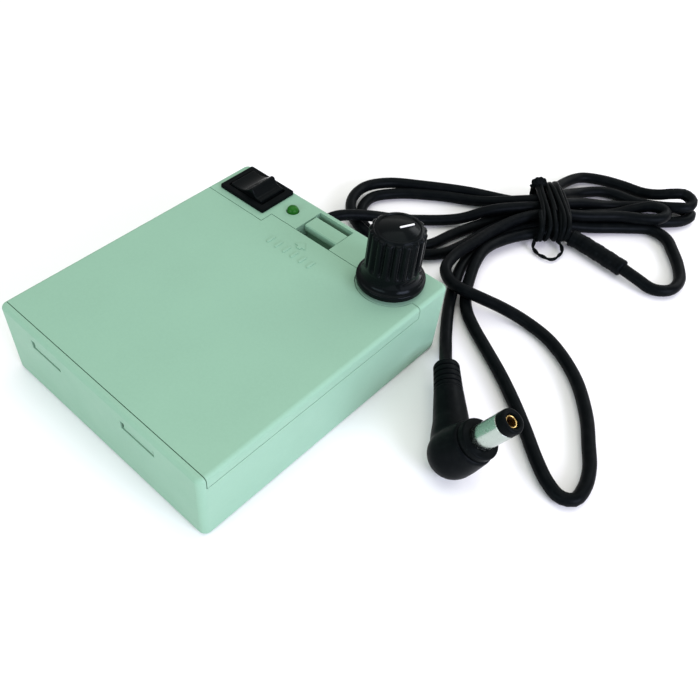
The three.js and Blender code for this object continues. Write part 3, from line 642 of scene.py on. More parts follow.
# Joined blocks run this far into each other, and cutters run past what they cut.
BITE = 0.5
PAST = 1.0
ABOVE = 30.0

# The seam round the cover, and the cover's steps past the switch and round the knob.
SEAM = 0.09
SEAM_Y = 26.75
FRONT_SEAM = 0.15
COVER_LOW = 16.15
COVER_PAST = 5.0
EAR_X, EAR_Y = -13.25, 23.2
KNOB_NOTCH_R = 7.75

# Inside the case.
TRAY_TOP = DECK_UNDER - 0.5
PARTITION_Y = (23.1, 24.1)
RECESS_X = 5.3
RECESS_FLOOR = 9.8
POCKET_WALL = 0.8
POCKET_SETBACK = 2.0
BOSS_SIZE = 5.0
BOSS_Z = (2.0, 7.0)
STOPS_Y = (-18, -2, 14)
STOP_HALF = 0.5
STOP_PROUD = 0.28
STOP_Z = (1.2, 2.2)
CELL_RIB_HALF = (20, 0.4)
CELL_RIB_TOP = 3.6
SHELVES_X = ((EAR_X - BITE, -RECESS_X), (RECESS_X, 16.8), (27.6, INNER_X + BITE))
SHELF_Y = (PARTITION_Y[0] + 0.1, SEAM_Y + 0.8)
SHELF_Z = (15.2, 15.95)
CATCH_HALF = 4
CATCH_DEPTH = 0.55
CATCH_Z = (14.6, 15.5)

# Openings in the case.
SCREW_HOLE_R = 0.95
SCREW_HOLE_Z = (1, 6)
HOOKS_X = (-16.0, 14.0)
HOOK_HALF = 5.0
HOOK_SLOT_Z = (14.3, 16.6)
WIRE_HOLE_X = (INNER_X - 2.4, INNER_X - 0.4)
WIRE_HOLE_Z = (1.75, 4.1)
SWITCH_HOLE_HALF = (6.7, 4.6)
LAMP_HOLE_R = 1.6
SHAFT_HOLE_R = 3.8
LEAD_HOLE_R = 2.5
LEAD_HOLE_HALF = 3


def case_block():
    return rounded_block(2 * HALF_W, 2 * HALF_L, (0, CASE_TOP), CASE_CORNER, CASE_EDGE, CASE_FOOT_EDGE)


def cover_region(gap, low):
    """The space of the battery cover, drawn in by gap from the deck round it."""
    high = CASE_TOP + COVER_PAST
    span_y = (-INNER_Y + FRONT_SEAM + gap, SEAM_Y - gap)
    whole = block(about(0, HALF_W + COVER_PAST), span_y, (low, high))
    tall = (low - PAST, high + PAST)
    ear = block((-HALF_W - COVER_PAST - PAST, EAR_X + gap), (EAR_Y - gap, HALF_L), tall)
    notch = rod(KNOB_NOTCH_R + gap, tall, KNOB_AT, 96)
    return cut(whole, ear, notch)


def screw_at(side):
    place = middle_mm("base_screw_right" if side > 0 else "base_screw_left")
    return place.x, place.y


def case_additions():
    """The latch's pocket, screw bosses, plate stops, cell ribs and the shelves under the deck's edge."""
    pocket_y = (SEAM_Y + POCKET_SETBACK, INNER_Y + BITE)
    pocket_z = (RECESS_FLOOR - POCKET_WALL, CASE_TOP - BITE)
    additions = [block(about(0, RECESS_X + POCKET_WALL), pocket_y, pocket_z)]
    for side in (-1, 1):
        outer = side * (INNER_X + BITE)
        boss_x = sorted((outer, side * (INNER_X - BOSS_SIZE)))
        additions.append(block(boss_x, (INNER_Y - BOSS_SIZE, INNER_Y + BITE), BOSS_Z))
        stop_x = sorted((outer, side * (INNER_X - STOP_PROUD)))
        additions += [block(stop_x, about(y, STOP_HALF), STOP_Z) for y in STOPS_Y]
    for before, after in zip(CELLS, CELLS[1:]):
        y = (before.y + after.y) / 2
        rib_z = (WALL - BITE, CELL_RIB_TOP)
        additions.append(block(about(0, CELL_RIB_HALF[0]), about(y, CELL_RIB_HALF[1]), rib_z))
    additions += [block(x, SHELF_Y, SHELF_Z) for x in SHELVES_X]
    return additions


def case_openings():
    """The latch recess, screw holes, hook slots, wire passage, and the holes for controls and lead."""
    openings = [block(about(0, RECESS_X), (SEAM_Y - PAST, INNER_Y), (RECESS_FLOOR, ABOVE))]
    openings += [rod(SCREW_HOLE_R, SCREW_HOLE_Z, screw_at(side), 24) for side in (-1, 1)]
    front_wall = (-HALF_L - 2 * PAST, -INNER_Y + PAST)
    openings += [block(about(x, HOOK_HALF), front_wall, HOOK_SLOT_Z) for x in HOOKS_X]
    openings.append(block(WIRE_HOLE_X, (PARTITION_Y[0] - PAST, PARTITION_Y[1] + PAST), WIRE_HOLE_Z))
    deck = (DECK_UNDER - PAST, ABOVE)
    half_x, half_y = SWITCH_HOLE_HALF
    openings.append(block(about(SWITCH_AT.x, half_x), about(SWITCH_AT.y, half_y), deck))
    openings.append(rod(LAMP_HOLE_R, deck, LAMP_AT))
    openings.append(rod(SHAFT_HOLE_R, deck, KNOB_AT))
    rear_wall = posed((GLAND_AT.x, HALF_L - PAST, GLAND_AT.z), pi / 2, "X")
    openings.append(moved(rod(LEAD_HOLE_R, about(0, LEAD_HOLE_HALF), (0, 0)), rear_wall))
    return openings


def make_case():
    """The lower box and control deck, with its cell tray, partition, latch pocket and bosses."""
    tray = block(about(0, INNER_X), (-INNER_Y, PARTITION_Y[0]), (WALL, TRAY_TOP))
    rear = block(about(0, INNER_X), (PARTITION_Y[1], INNER_Y), (-PAST, DECK_UNDER))
    shape = cut(case_block(), tray, rear, cover_region(-SEAM, COVER_LOW - SEAM))
    shape = join(shape, *case_additions())
    shape = cut(shape, *case_openings())
    catch = block(about(0, CATCH_HALF), (INNER_Y - CATCH_DEPTH, INNER_Y + BITE), CATCH_Z)
    shape = join(shape, catch)
    make_piece("case", shape, "shell_plastic", ["case_body"], bevel=0.16)


HOOK_PLAY = (0.9, 0.3)
HOOK_STEM_INSET = 0.2
HOOK_STEM_Y = (-INNER_Y + 0.4, -INNER_Y + 1.9)
HOOK_STEM_LOW = 14.8
HOOK_TAB_Y = (-HALF_L + 0.15, -INNER_Y + 0.8)
HOOK_TAB_Z = (14.75, 16.45)
COVER_REAR = SEAM_Y + 0.15
LATCH_STEM_HALF = 4.85
LATCH_STEM_Y = (COVER_REAR - 1.4, COVER_REAR - 0.4)
LATCH_STEM_LOW = 10.6
LATCH_FOOT_HALF = 4.9
LATCH_FOOT_Y = (COVER_REAR - 1.3, COVER_REAR + 2.6)
LATCH_FOOT_Z = (10.5, 11.4)
RIB_HALF = 0.5
RIB_DEPTH = 0.6
LONG_RIBS_X = (-12, 12)
CROSS_RIBS_Y = (-30, -9, 12)
CROSS_RIB_HALF = 26


def make_cover():
    """The lift-up battery cover: skirts, hook tabs, the latch's foot and stiffening ribs."""
    shape = common(case_block(), cover_region(SEAM, COVER_LOW + SEAM))
    shape = cut(shape, block(about(0, INNER_X), about(0, HALF_L), (0, DECK_UNDER)))
    inside = DECK_UNDER + BITE
    parts = []
    for x in HOOKS_X:
        left, right = x - HOOK_HALF + HOOK_PLAY[0], x + HOOK_HALF - HOOK_PLAY[1]
        stem_x = (left + HOOK_STEM_INSET, right - HOOK_STEM_INSET)
        parts.append(block(stem_x, HOOK_STEM_Y, (HOOK_STEM_LOW, inside)))
        parts.append(block((left, right), HOOK_TAB_Y, HOOK_TAB_Z))
    parts.append(block(about(0, LATCH_STEM_HALF), LATCH_STEM_Y, (LATCH_STEM_LOW, inside)))
    parts.append(block(about(0, LATCH_FOOT_HALF), LATCH_FOOT_Y, LATCH_FOOT_Z))
    rib_z = (DECK_UNDER - RIB_DEPTH, inside)
    rib_y = (CROSS_RIBS_Y[0], CROSS_RIBS_Y[-1])
    parts += [block(about(x, RIB_HALF), rib_y, rib_z) for x in LONG_RIBS_X]
    parts += [block(about(0, CROSS_RIB_HALF), about(y, RIB_HALF), rib_z) for y in CROSS_RIBS_Y]
    shape = join(shape, *parts)
    make_piece("battery_lid", shape, "shell_plastic", ["battery_cover"], body="cover", bevel=0.14)


MARK_Z = (CASE_TOP - 0.1, CASE_TOP + 0.22)
ARROW = [(-1.7, 22.7), (-0.6, 22.7), (-0.6, 22.0), (0.6, 22.0), (0.6, 22.7), (1.7, 22.7), (0, 24.5)]
BARS = 6
BAR_SIZE = (0.7, 2.6)
BAR_CORNER = 0.34
FIRST_BAR = (-6.6, 19.9)
BARS_WIDE = 12.6


def make_grip_marks():
    """A raised arrow and a row of grip bars, moulded on the cover in front of the latch."""
    shapes = [prism(ARROW, MARK_Z)]
    for k in range(BARS):
        x = FIRST_BAR[0] + BARS_WIDE * k / (BARS - 1)
        outline = [(x + px, FIRST_BAR[1] + py) for px, py in rounded_outline(*BAR_SIZE, BAR_CORNER, 4)]
        shapes.append(prism(outline, MARK_Z))
    make_piece("grip_marks", join(*shapes), "shell_plastic", body="cover", bevel=0.1)


LATCH_HALF = 5.05
# From the thin foot round the catch tooth, then the bar under the thumb.
LATCH_SIDE = [
    (30.0, 10.6), (31.0, 10.6), (31.5, 13.2), (34.7, 13.4), (33.0, 14.3), (31.8, 14.6), (31.9, 16.8),
    (32.3, 17.3), (34.1, 17.5), (34.1, 18.8), (33.8, 19.1), (30.1, 19.1), (29.8, 18.8), (29.8, 17.4),
    (30.8, 16.6),
]


def make_latch():
    """The springy thumb latch: a flexing leg, the catch tooth and the bar under the thumb."""
    shape = stack([[(x, y, z) for y, z in LATCH_SIDE] for x in about(0, LATCH_HALF)])
    make_piece("thumb_latch", shape, "shell_plastic", ["cover_latch"], body="latch", bevel=0.1, segments=3)


SCREW_CLEAR_R = 1.15
COUNTERBORE_R = 2.0
COUNTERBORE_TOP = 0.9
GROOVES_X = range(-12, 13, 4)
GROOVE_HALF = 0.8
GROOVE_Y = (28.2, 32.4)
GROOVE_TOP = 0.55
SCREW_SHAPE = [(1.1, 0.2), (1.55, 0.26), (1.8, 0.5), (1.8, 0.85), (0.8, 0.86), (0.8, 4.9), (0.3, 5.5)]
RECESS_TURNS = (20, 110)
SCREW_SLOT_HALF = (0.22, 1.05)
SCREW_SLOT_TOP = 0.55


def make_base():
    """The screwed plate under the control band, with counterbored holes and cross-recess screws."""
    shape = block(*zip(*box_mm("base_plate")))
    tools = []
    for side in (-1, 1):
        tools.append(rod(SCREW_CLEAR_R, (-PAST, 3 * PAST), screw_at(side)))
        tools.append(rod(COUNTERBORE_R, (-PAST, COUNTERBORE_TOP), screw_at(side)))
    tools += [block(about(x, GROOVE_HALF), GROOVE_Y, (-PAST, GROOVE_TOP)) for x in GROOVES_X]
    make_piece("base_cover", cut(shape, *tools), "shell_plastic", ["base_plate"], bevel=0.15)
    for side, name in ((-1, "left"), (1, "right")):
        x, y = screw_at(side)
        slot = block(about(0, SCREW_SLOT_HALF[0]), about(0, SCREW_SLOT_HALF[1]), (0, SCREW_SLOT_TOP))
        slots = []
        for turn in RECESS_TURNS:
            slots.append(moved(slot, posed((x, y, 0), radians(turn), "Z")))
        screw = cut(turned(SCREW_SHAPE, (x, y)), *slots)
        make_piece(f"screw_{name}", screw, "nickel", [f"base_screw_{name}"], bevel=0.05)


# ---------- cells ----------
SPRING_TURNS = 4
TURN_STEPS = 24
SPRING_R = 4.35
SPRING_TAPER = 1.5
SPRING_WIRE_R = 0.32
SPRING_SEAT = 0.35
SPRING_SHORT = 0.6


def cell_profiles(radius, length):
    """The profiles of a cell's wrap and of the metal can and button inside it, from its flat end."""
    wrap = [
        (radius - 0.75, 0.34), (radius - 0.35, 0.32), (radius - 0.06, 0.55), (radius, 0.9),
        (radius, length - 2.4), (radius - 0.1, length - 2.0), (radius - 0.5, length - 1.78),
        (4.6, length - 1.78), (4.6, length - 1.95),
    ]
    can = [
        (5.2, 0.0), (5.5, 0.12), (5.6, 0.4), (4.5, 0.6), (4.3, length - 1.9), (4.4, length - 1.5),
        (2.9, length - 1.45), (2.7, length - 1.2), (2.7, length - 0.3), (2.45, length), (1.6, length),
    ]
    return wrap, can


def make_cells():
    """Four AA cells in plain wraps, with their metal ends, and the tray's coil springs."""
    for number, at in enumerate(CELLS, 1):
        low, high = box_mm(f"cell_{number}")
        facing = 1 if number % 2 else -1
        start = low.x if facing > 0 else high.x
        pose = posed((start, at.y, at.z), facing * pi / 2, "Y")
        wrap, can = cell_profiles((high.z - low.z) / 2, high.x - low.x)
        wrap, can = moved(turned(wrap), pose), moved(turned(can), pose)
        make_piece(f"cell_wrap_{number}", wrap, "cell_can", [f"cell_{number}"], crease=50)
        make_piece(f"cell_ends_{number}", can, "nickel", crease=50)

        node = f"contact_spring_{number}"
        coil_low, coil_high = box_mm(node)
        spring_y = middle_mm(node).y
        base = coil_low.x if facing > 0 else coil_high.x
        reach = coil_high.x - coil_low.x - SPRING_SHORT
        line = []
        for k in range(SPRING_TURNS * TURN_STEPS + 1):
            along = k / (SPRING_TURNS * TURN_STEPS)
            angle = 2 * pi * k / TURN_STEPS
            r = SPRING_R - SPRING_TAPER * along
            x = base + facing * (SPRING_SEAT + along * reach)
            line.append((x, spring_y + r * cos(angle), at.z + r * sin(angle)))
        make_piece(f"coil_spring_{number}", sweep(line, SPRING_WIRE_R, 10), "contact_nickel", [node])


# ---------- controls ----------
BEZEL_SIZE = (14.9, 11.1)
BEZEL_RISE = 1.0
BEZEL_GAP = 0.03
BEZEL_ROUNDING = (0.5, 0.3, 0.1)
SWITCH_CAN_HALF = (6.4, 4.3)
WELL_HALF = (5.85, 4.05)
WELL_DEPTH = 5.5
ROCKER_MIDDLE = CASE_TOP - 0.8
ROCKER_HALF = (5.2, 3.85)
ROCKER_FOOT = -1.6
ROCKER_KEEL = (2.2, -3.6)
ROCKER_BULGE = 0.4
RIDGE_AT = 1.9
RIDGE_RISE = 4.15
ARC_STEPS = 12


def arc_points(start, control, end, count):
    """Points along a curve pulled from start to end through a control point, without its start."""
    shares = [k / count for k in range(1, count + 1)]
    return [
        tuple((1 - s) ** 2 * p + 2 * s * (1 - s) * q + s * s * r for p, q, r in zip(start, control, end))
        for s in shares
    ]


def rocker_outline():
    """The rocker from its side: its foot, a short flank, the ridge, then the long dished flank."""
    half = ROCKER_HALF[0]
    keel_x, keel_z = ROCKER_KEEL
    outline = [(-keel_x, keel_z), (keel_x, keel_z), (half, ROCKER_FOOT)]
    curves = [
        ((half + ROCKER_BULGE, 0.5), (half, 2.4)),
        ((3.3, 2.1), (RIDGE_AT + 0.55, RIDGE_RISE - 0.35)),
        ((RIDGE_AT + 0.25, RIDGE_RISE + 0.2), (RIDGE_AT - 0.55, RIDGE_RISE - 0.15)),
        ((-1.2, 1.5), (-half, 2.3)),
        ((-half - ROCKER_BULGE, 0.5), (-half, ROCKER_FOOT)),
    ]
    for control, end in curves:
        outline += arc_points(outline[-1], control, end, ARC_STEPS)
    return outline


def make_switch():
    """A snap-in rocker switch: a low bezel round a rocker with a long dish, a ridge and a short flank."""
    low = box_mm("switch_housing")[0]
    top = CASE_TOP + BEZEL_RISE
    x, y = SWITCH_AT.x, SWITCH_AT.y
    rim = rounded_block(*BEZEL_SIZE, (CASE_TOP + BEZEL_GAP, top), *BEZEL_ROUNDING)
    rim = moved(rim, Matrix.Translation((x, y, 0)))
    can = block(about(x, SWITCH_CAN_HALF[0]), about(y, SWITCH_CAN_HALF[1]), (low.z, CASE_TOP + BITE))
    well_z = (DECK_UNDER - WELL_DEPTH, top + PAST)
    bezel = cut(join(rim, can), block(about(x, WELL_HALF[0]), about(y, WELL_HALF[1]), well_z))
    make_piece("switch_bezel", bezel, "black_matte", ["switch_housing"], bevel=0.12)

    side = rocker_outline()
    rings = [[(x + px, y + py, ROCKER_MIDDLE + pz) for px, pz in side] for py in about(0, ROCKER_HALF[1])]
    make_piece(
        "rocker_cap", stack(rings), "black_gloss", ["switch_rocker"], body="rocker",
        bevel=0.26, segments=4, crease=40,
    )


LAMP_R = 1.45
LAMP_FLANGE_R = 1.9
LAMP_FLANGE = 1.0
LAMP_STEPS = 10


def make_lamp():
    """A small green lamp: a low dome on a flange under the deck."""
    low, high = box_mm("led_lamp")
    brim = CASE_TOP + 0.15
    dome = [
        (1.2, low.z), (LAMP_FLANGE_R, low.z), (LAMP_FLANGE_R, low.z + LAMP_FLANGE),
        (LAMP_R, low.z + LAMP_FLANGE + 0.02), (LAMP_R, brim),
    ]
    for k in range(1, LAMP_STEPS):
        angle = pi / 2 * k / LAMP_STEPS
        dome.append((LAMP_R * cos(angle), brim + (high.z - brim) * sin(angle)))
    dome.append((0.12, high.z))
    lens = turned(dome, (LAMP_AT.x, LAMP_AT.y))
    make_piece("lamp_lens", lens, "led_green", ["led_lamp"], crease=50)


KNOB_BASE, KNOB_TOP = (corner.z for corner in box_mm("knob_body"))
FLUTES = 18
FLUTE_STEPS = 14
FLUTE_DEPTH = 0.62
FLUTE_SHARPNESS = 2.2
SKIRT_LIP_R, SKIRT_LIP_TOP = 7.5, 1.36
FLARE_IN, FLARE_UP = 1.36, 2.9
FLARE_STEPS = 10
GRIP_R, GRIP_TAPER = 6.2, 0.1
GRIP_LOW, GRIP_HIGH = KNOB_BASE + 4.5, KNOB_TOP - 0.95
POINTER_TURN = radians(64)
POINTER_SLOT = ((0.15, 3.6), (-0.3, 0.3), (KNOB_TOP - 0.45, KNOB_TOP + PAST))
POINTER_MIDDLE = 1.88
POINTER_SIZE = (3.35, 0.5)
POINTER_CORNER = 0.2
POINTER_Z = (KNOB_TOP - 0.42, KNOB_TOP + 0.06)


def knob_profile():
    """The knob from its bore down, round the skirt and up the grip, as (radius, height, flute depth)."""
    b, t = KNOB_BASE, KNOB_TOP
    rows = [
        (0.8, t - 2.0, 0), (3.1, t - 2.02, 0), (3.1, b + 1.45, 0), (6.3, b + 1.4, 0), (6.4, b + 1.3, 0),
        (6.4, b + 0.1, 0), (6.5, b, 0),
        (7.5, b, 0), (7.66, b + 0.06, 0), (7.72, b + 0.22, 0), (7.72, b + 1.0, 0), (7.66, b + 1.22, 0),
        (SKIRT_LIP_R, b + SKIRT_LIP_TOP, 0),
    ]
    for k in range(1, FLARE_STEPS + 1):
        turn = k / FLARE_STEPS * pi / 2
        height = b + SKIRT_LIP_TOP + FLARE_UP * (1 - cos(turn))
        rows.append((SKIRT_LIP_R - FLARE_IN * sin(turn), height, 0))
    for share in (0, 0.03, 0.07, 0.12, 0.3, 0.5, 0.7, 0.9, 0.97, 1):
        height = GRIP_LOW + share * (GRIP_HIGH - GRIP_LOW)
        rows.append((GRIP_R - GRIP_TAPER * share, height, min(1, share / 0.1)))
    rows += [
        (6.03, t - 0.8, 1), (5.85, t - 0.62, 0.9), (5.55, t - 0.52, 0.3), (5.35, t - 0.5, 0),
        (5.28, t - 0.42, 0), (5.24, t - 0.12, 0), (5.14, t, 0), (4.6, t, 0), (4.54, t - 0.1, 0),
        (4.3, t - 0.1, 0), (4.24, t - 0.02, 0), (0.15, t - 0.02, 0),
    ]
    return rows


def make_knob():
    """The speed knob: a glossy flared skirt, a fluted grip and a turned top with a white pointer."""
    columns = FLUTES * FLUTE_STEPS
    rings = []
    for radius, height, depth in knob_profile():
        ring = []
        for k in range(columns):
            angle = 2 * pi * k / columns
            phase = 0.5 + 0.5 * cos(FLUTES * angle)
            r = radius - FLUTE_DEPTH * depth * phase ** FLUTE_SHARPNESS
            ring.append((KNOB_AT.x + r * cos(angle), KNOB_AT.y + r * sin(angle), height))
        rings.append(ring)
    pose = posed((KNOB_AT.x, KNOB_AT.y, 0), POINTER_TURN, "Z")
    shape = cut(stack(rings), moved(block(*POINTER_SLOT), pose))
    make_piece("speed_knob", shape, "black_gloss", ["knob_body"], body="knob", crease=48)
    outline = [(POINTER_MIDDLE + px, py) for px, py in rounded_outline(*POINTER_SIZE, POINTER_CORNER, 5)]
    line = moved(prism(outline, POINTER_Z), pose)
    make_piece("pointer_line", line, "pointer_white", ["knob_pointer"], body="knob", bevel=0.05)


GLAND_FLANGES = [
    (3.2, -2.6), (3.2, -1.7), (2.3, -1.7), (2.3, 0.1), (3.4, 0.12), (3.55, 0.3), (3.55, 1.0), (3.35, 1.2),
    (2.9, 1.3),
]
GLAND_GROOVES = 4
GLAND_GROOVE_START, GLAND_GROOVE_PITCH = 1.9, 1.35
GLAND_BOOT_R, GLAND_BOOT_TAPER = 2.85, 0.14


def make_gland():
    """The lead's strain relief: a flanged collar and a tapered boot with grooves."""
    reach = box_mm("cord_gland")[1].y - HALF_L
    profile = list(GLAND_FLANGES)
    for k in range(GLAND_GROOVES):
        z = GLAND_GROOVE_START + k * GLAND_GROOVE_PITCH
        r = GLAND_BOOT_R - GLAND_BOOT_TAPER * k
        profile += [(r, z), (r - 0.45, z + 0.12), (r - 0.45, z + 0.5), (r - 0.06, z + 0.62)]
    profile += [(2.15, reach - 0.35), (1.95, reach), (1.6, reach)]
    pose = posed((GLAND_AT.x, HALF_L, GLAND_AT.z), -pi / 2, "X")
    make_piece("strain_relief", moved(turned(profile), pose), "cord_vinyl", ["cord_gland"], bevel=0.08)


# ---------- on the lead ----------
SLEEVE_ENDS = ((5.0, -11.1), (15.2, -23.4))
SLEEVE_INNER_R = 1.65
SLEEVE_WALL = 0.5
SLEEVE_ROLL = 0.03
FLOOR_GAP = 0.05
TIE_WIRE_R = 0.62
TIE_MIDDLE = 1.1
TIE_WAIST, TIE_WAIST_HALF, TIE_REACH = 0.4, 2.9, 14
TIE_FLOOR = 0.95
TIE_TURNS, TIE_STEPS = 9, 40
TIE_START = 1.9
TIE_SQUARENESS = 0.72
TIE_SPREAD = 3.0
TIE_FAN = 0.35
TIE_SKEW = 0.85
TIE_LOOSE, TIE_LOOSE_STEP = 0.45, 10
KNOT_STEPS = 60
KNOT_AT = (-2.6, -2.2, -0.4)
KNOT_SIZE = (1.3, 1.1)
LOOP_WIRE_R = 0.3
LOOP_TWIST_R = 0.24


def nearest(line, along, across):
    """The index of the lead's point nearest to a place beside the hank."""
    place = from_hank(along, across, 2.5)
    return int(np.argmin(np.linalg.norm(line - place, axis=1)))


def hank_places(points):
    return [tuple(from_hank(*point) / MM) for point in points]


def make_sleeve(line):
    """A thicker shrunk sleeve over the start of the side loop, with slightly rolled ends."""
    start, end = (nearest(line, *place) for place in SLEEVE_ENDS)
    part = line[start:end + 1] / MM
    share = np.linspace(0, 1, 6 * len(part))
    part = np.stack([np.interp(share, np.linspace(0, 1, len(part)), part[:, k]) for k in range(3)], axis=1)
    wave = 0.05 * np.sin(9 * share * pi) + 0.03 * np.sin(23 * share * pi + 1)
    rounding = np.clip(np.minimum(share, 1 - share) / SLEEVE_ROLL, 0, 1)
    radii = SLEEVE_INNER_R + (SLEEVE_WALL + wave) * np.sqrt(1 - (1 - rounding) ** 2)
    part[:, 2] = np.maximum(part[:, 2], radii + FLOOR_GAP)
    make_piece("lead_sleeve", sweep(part, radii, 20), "cord_vinyl", ["cord_sleeve"], crease=60)


def tie_turns(low, high, bottom, top):
    """The tie's wire wound round the hank's waist, each turn a little loose, as places in the hank."""
    random = np.random.default_rng(7)
    centre = ((low + high) / 2, (bottom + top) / 2)
    half = ((high - low) / 2 + TIE_WIRE_R, (top - bottom) / 2 + TIE_WIRE_R)
    points = []
    for k in range(TIE_TURNS * TIE_STEPS + 1):
        angle = 2 * pi * (k / TIE_STEPS) + TIE_START
        share = k / (TIE_TURNS * TIE_STEPS)
        ca, sa = cos(angle), sin(angle)
        across = centre[0] + half[0] * copysign(abs(ca) ** TIE_SQUARENESS, ca)
        height = centre[1] + half[1] * copysign(abs(sa) ** TIE_SQUARENESS, sa)
        fan = 1 + TIE_FAN * (1 - ca) / 2
        drift = TIE_SPREAD * fan * sin(pi * (1.5 * share - 0.5)) + 0.25 * sin(2.6 * angle)
        points.append((TIE_MIDDLE + drift - TIE_SKEW * (1 - ca), across, height))
    points = np.array(points)
    marks = random.random(len(points) // TIE_LOOSE_STEP + 1)
    places = np.arange(0, len(points), TIE_LOOSE_STEP)
    lift = TIE_LOOSE * np.interp(np.arange(len(points)), places, marks)
    points[:, 1] += lift * np.sign(points[:, 1] - centre[0])
    points[:, 2] += lift * (points[:, 2] > centre[1])
    points[:, 2] = np.maximum(points[:, 2], TIE_WIRE_R + FLOOR_GAP)
    return points


def tie_knot(phase, high, top):
    """One of the tie's two ends, twisted together and bent over the far side of the hank."""
    along = TIE_MIDDLE + KNOT_AT[0]
    across = high + TIE_WIRE_R + KNOT_AT[1]
    height = top + TIE_WIRE_R + KNOT_AT[2]
    twist = []
    for share in np.linspace(0, 1, KNOT_STEPS):
        angle = phase + 5 * pi * share
        bend = pi * 1.15 * share
        twist.append((
            along - KNOT_SIZE[0] * cos(bend) + TIE_WIRE_R * cos(angle),
            across + 0.5 * sin(angle),
            height + KNOT_SIZE[1] * sin(bend) + 0.55 * sin(angle),
        ))
    return smooth_line(twist, 0.15)


def tie_loop(phase, low):
    """One strand of the thin twisted wire that stands out in a loop on the near side."""
    route = [
        (-4.7, low + 0.6, 2.8), (-5.3, low - 0.9, 1.7), (-5.6, low - 2.2, 0.95), (-5.0, low - 4.4, 0.8),
        (-3.6, low - 6.0, 0.8), (-1.6, low - 7.0, 0.8), (0.6, low - 5.4, 0.8), (1.9, low - 3.6, 0.8),
        (2.1, low - 1.9, 1.0), (1.2, low - 0.6, 1.8), (0.3, low + 0.6, 2.8),
    ]
    loop = smooth_line(route, 0.2)
    turn = phase + np.linspace(0, 9 * pi, len(loop))
    loop[:, 0] += LOOP_TWIST_R * np.cos(turn)
    loop[:, 2] += LOOP_TWIST_R * np.sin(turn)
    return loop


def make_tie(line):
    """Twist tie: several turns of covered wire round the hank's waist, twisted ends and a loose loop."""
    local = line / MM - np.array((*HANK_CENTRE, 0))
    c, s = cos(HANK_HEADING), sin(HANK_HEADING)
    along = c * local[:, 0] + s * local[:, 1]
    across = -s * local[:, 0] + c * local[:, 1]
    waist = (np.abs(along - TIE_WAIST) < TIE_WAIST_HALF) & (np.abs(across) < TIE_REACH)
    low, high = across[waist].min() - CORD_RADIUS, across[waist].max() + CORD_RADIUS
    top = local[waist, 2].max() + CORD_RADIUS
    bottom = max(local[waist, 2].min() - CORD_RADIUS, TIE_FLOOR)
    shapes = [sweep(hank_places(tie_turns(low, high, bottom, top)), TIE_WIRE_R, 8)]
    strands = (0, pi)
    shapes += [sweep(hank_places(tie_knot(phase, high, top)), TIE_WIRE_R * 0.95, 8) for phase in strands]
    shapes += [sweep(hank_places(tie_loop(phase, low)), LOOP_WIRE_R, 7) for phase in strands]
    points, faces = [], []
    for shape_points, shape_faces in shapes:
        faces += [tuple(index + len(points) for index in face) for face in shape_faces]
        points += shape_points
    make_piece("wire_tie", (points, faces), "tie_wire", ["twist_tie"], crease=70)


# ---------- plug ----------
PLUG_HEAD = Vector((56.3, 10.5, 5.6))
BARREL_TURN = radians(21)
BARREL_RISE = radians(62)
HEAD_R = 5.5
COLLAR_R = 4.5
COLLAR_AT = 8.7
BARREL_R = 2.75
BARREL_END = COLLAR_AT + 7.2
PLUG_TIP = COLLAR_AT + 9.3
BOOT_START = (-36.75, -59.95, 4.6)
BOOT_R = 3.0
BOOT_TAPER = 0.06
BOOT_RIBS = 5
RIB_PITCH = 1.6
RIBS_END = 8.6
HEAD_SKIN = 0.3


def head_profiles(reach):
    """The plug head's profiles: the round head on the barrel's axis, and the swelling arm to the lead."""
    angles = np.linspace(0.06, pi / 2, 14)
    head = [(HEAD_R * sin(a), -HEAD_R * cos(a)) for a in angles]
    head += [
        (HEAD_R - 0.1, 2.2), (COLLAR_R + 0.45, COLLAR_AT - 2.2), (COLLAR_R + 0.2, COLLAR_AT - 1.9),
        (2.0, COLLAR_AT - 1.9),
    ]
    arm = [
        (2.0, RIBS_END - 0.9), (3.28, RIBS_END - 0.9), (3.35, RIBS_END), (3.9, reach - 8.5),
        (4.5, reach - 5), (5.0, reach - 1), (2, reach),
    ]
    return head, arm


def boot_profile():
    """The boot's ribs, each a little wider than the one before, with a groove after it."""
    ribs = [(1.52, 0.1), (BOOT_R - 0.35, 0), (BOOT_R - 0.1, 0.12), (BOOT_R, 0.4)]
    for k in range(BOOT_RIBS):
        z = 0.4 + k * RIB_PITCH
        r = BOOT_R + BOOT_TAPER * k
        ribs += [
            (r, z + 1.0), (r - 0.12, z + 1.08), (r - 0.38, z + 1.12), (r - 0.38, z + 1.42),
            (r - 0.08, z + 1.46), (r + 0.04, z + 1.54),
        ]
    return ribs + [(3.3, RIBS_END + 0.1), (2.6, RIBS_END + 0.2)]


COLLAR_SHAPE = [(COLLAR_R + r, COLLAR_AT + z) for r, z in (
    (-0.6, -2.3), (-0.1, -1.9), (-0.1, -1.55), (0.02, -1.45), (0.02, -0.35), (-0.12, -0.1), (-0.35, 0),
    (-1.5, 0), (-1.6, -0.1), (-2.1, -0.1),
)]
BARREL_SHAPE = [
    (1.9, COLLAR_AT + 1.0), (1.9, BARREL_END - 0.1), (2.0, BARREL_END), (BARREL_R - 0.12, BARREL_END),
    (BARREL_R, BARREL_END - 0.15), (BARREL_R, COLLAR_AT - 0.7), (1.9, COLLAR_AT - 0.7),
    (1.88, COLLAR_AT + 0.9),
]
NOSE_SHAPE = [
    (1.5, BARREL_END - 3.5), (1.5, PLUG_TIP - 0.55), (1.75, PLUG_TIP - 0.12), (1.95, PLUG_TIP),
    (BARREL_R - 0.5, PLUG_TIP), (BARREL_R - 0.18, PLUG_TIP - 0.16), (BARREL_R - 0.02, PLUG_TIP - 0.5),
    (BARREL_R - 0.02, BARREL_END + 0.05), (1.85, BARREL_END + 0.04), (1.85, BARREL_END - 3.5),
]
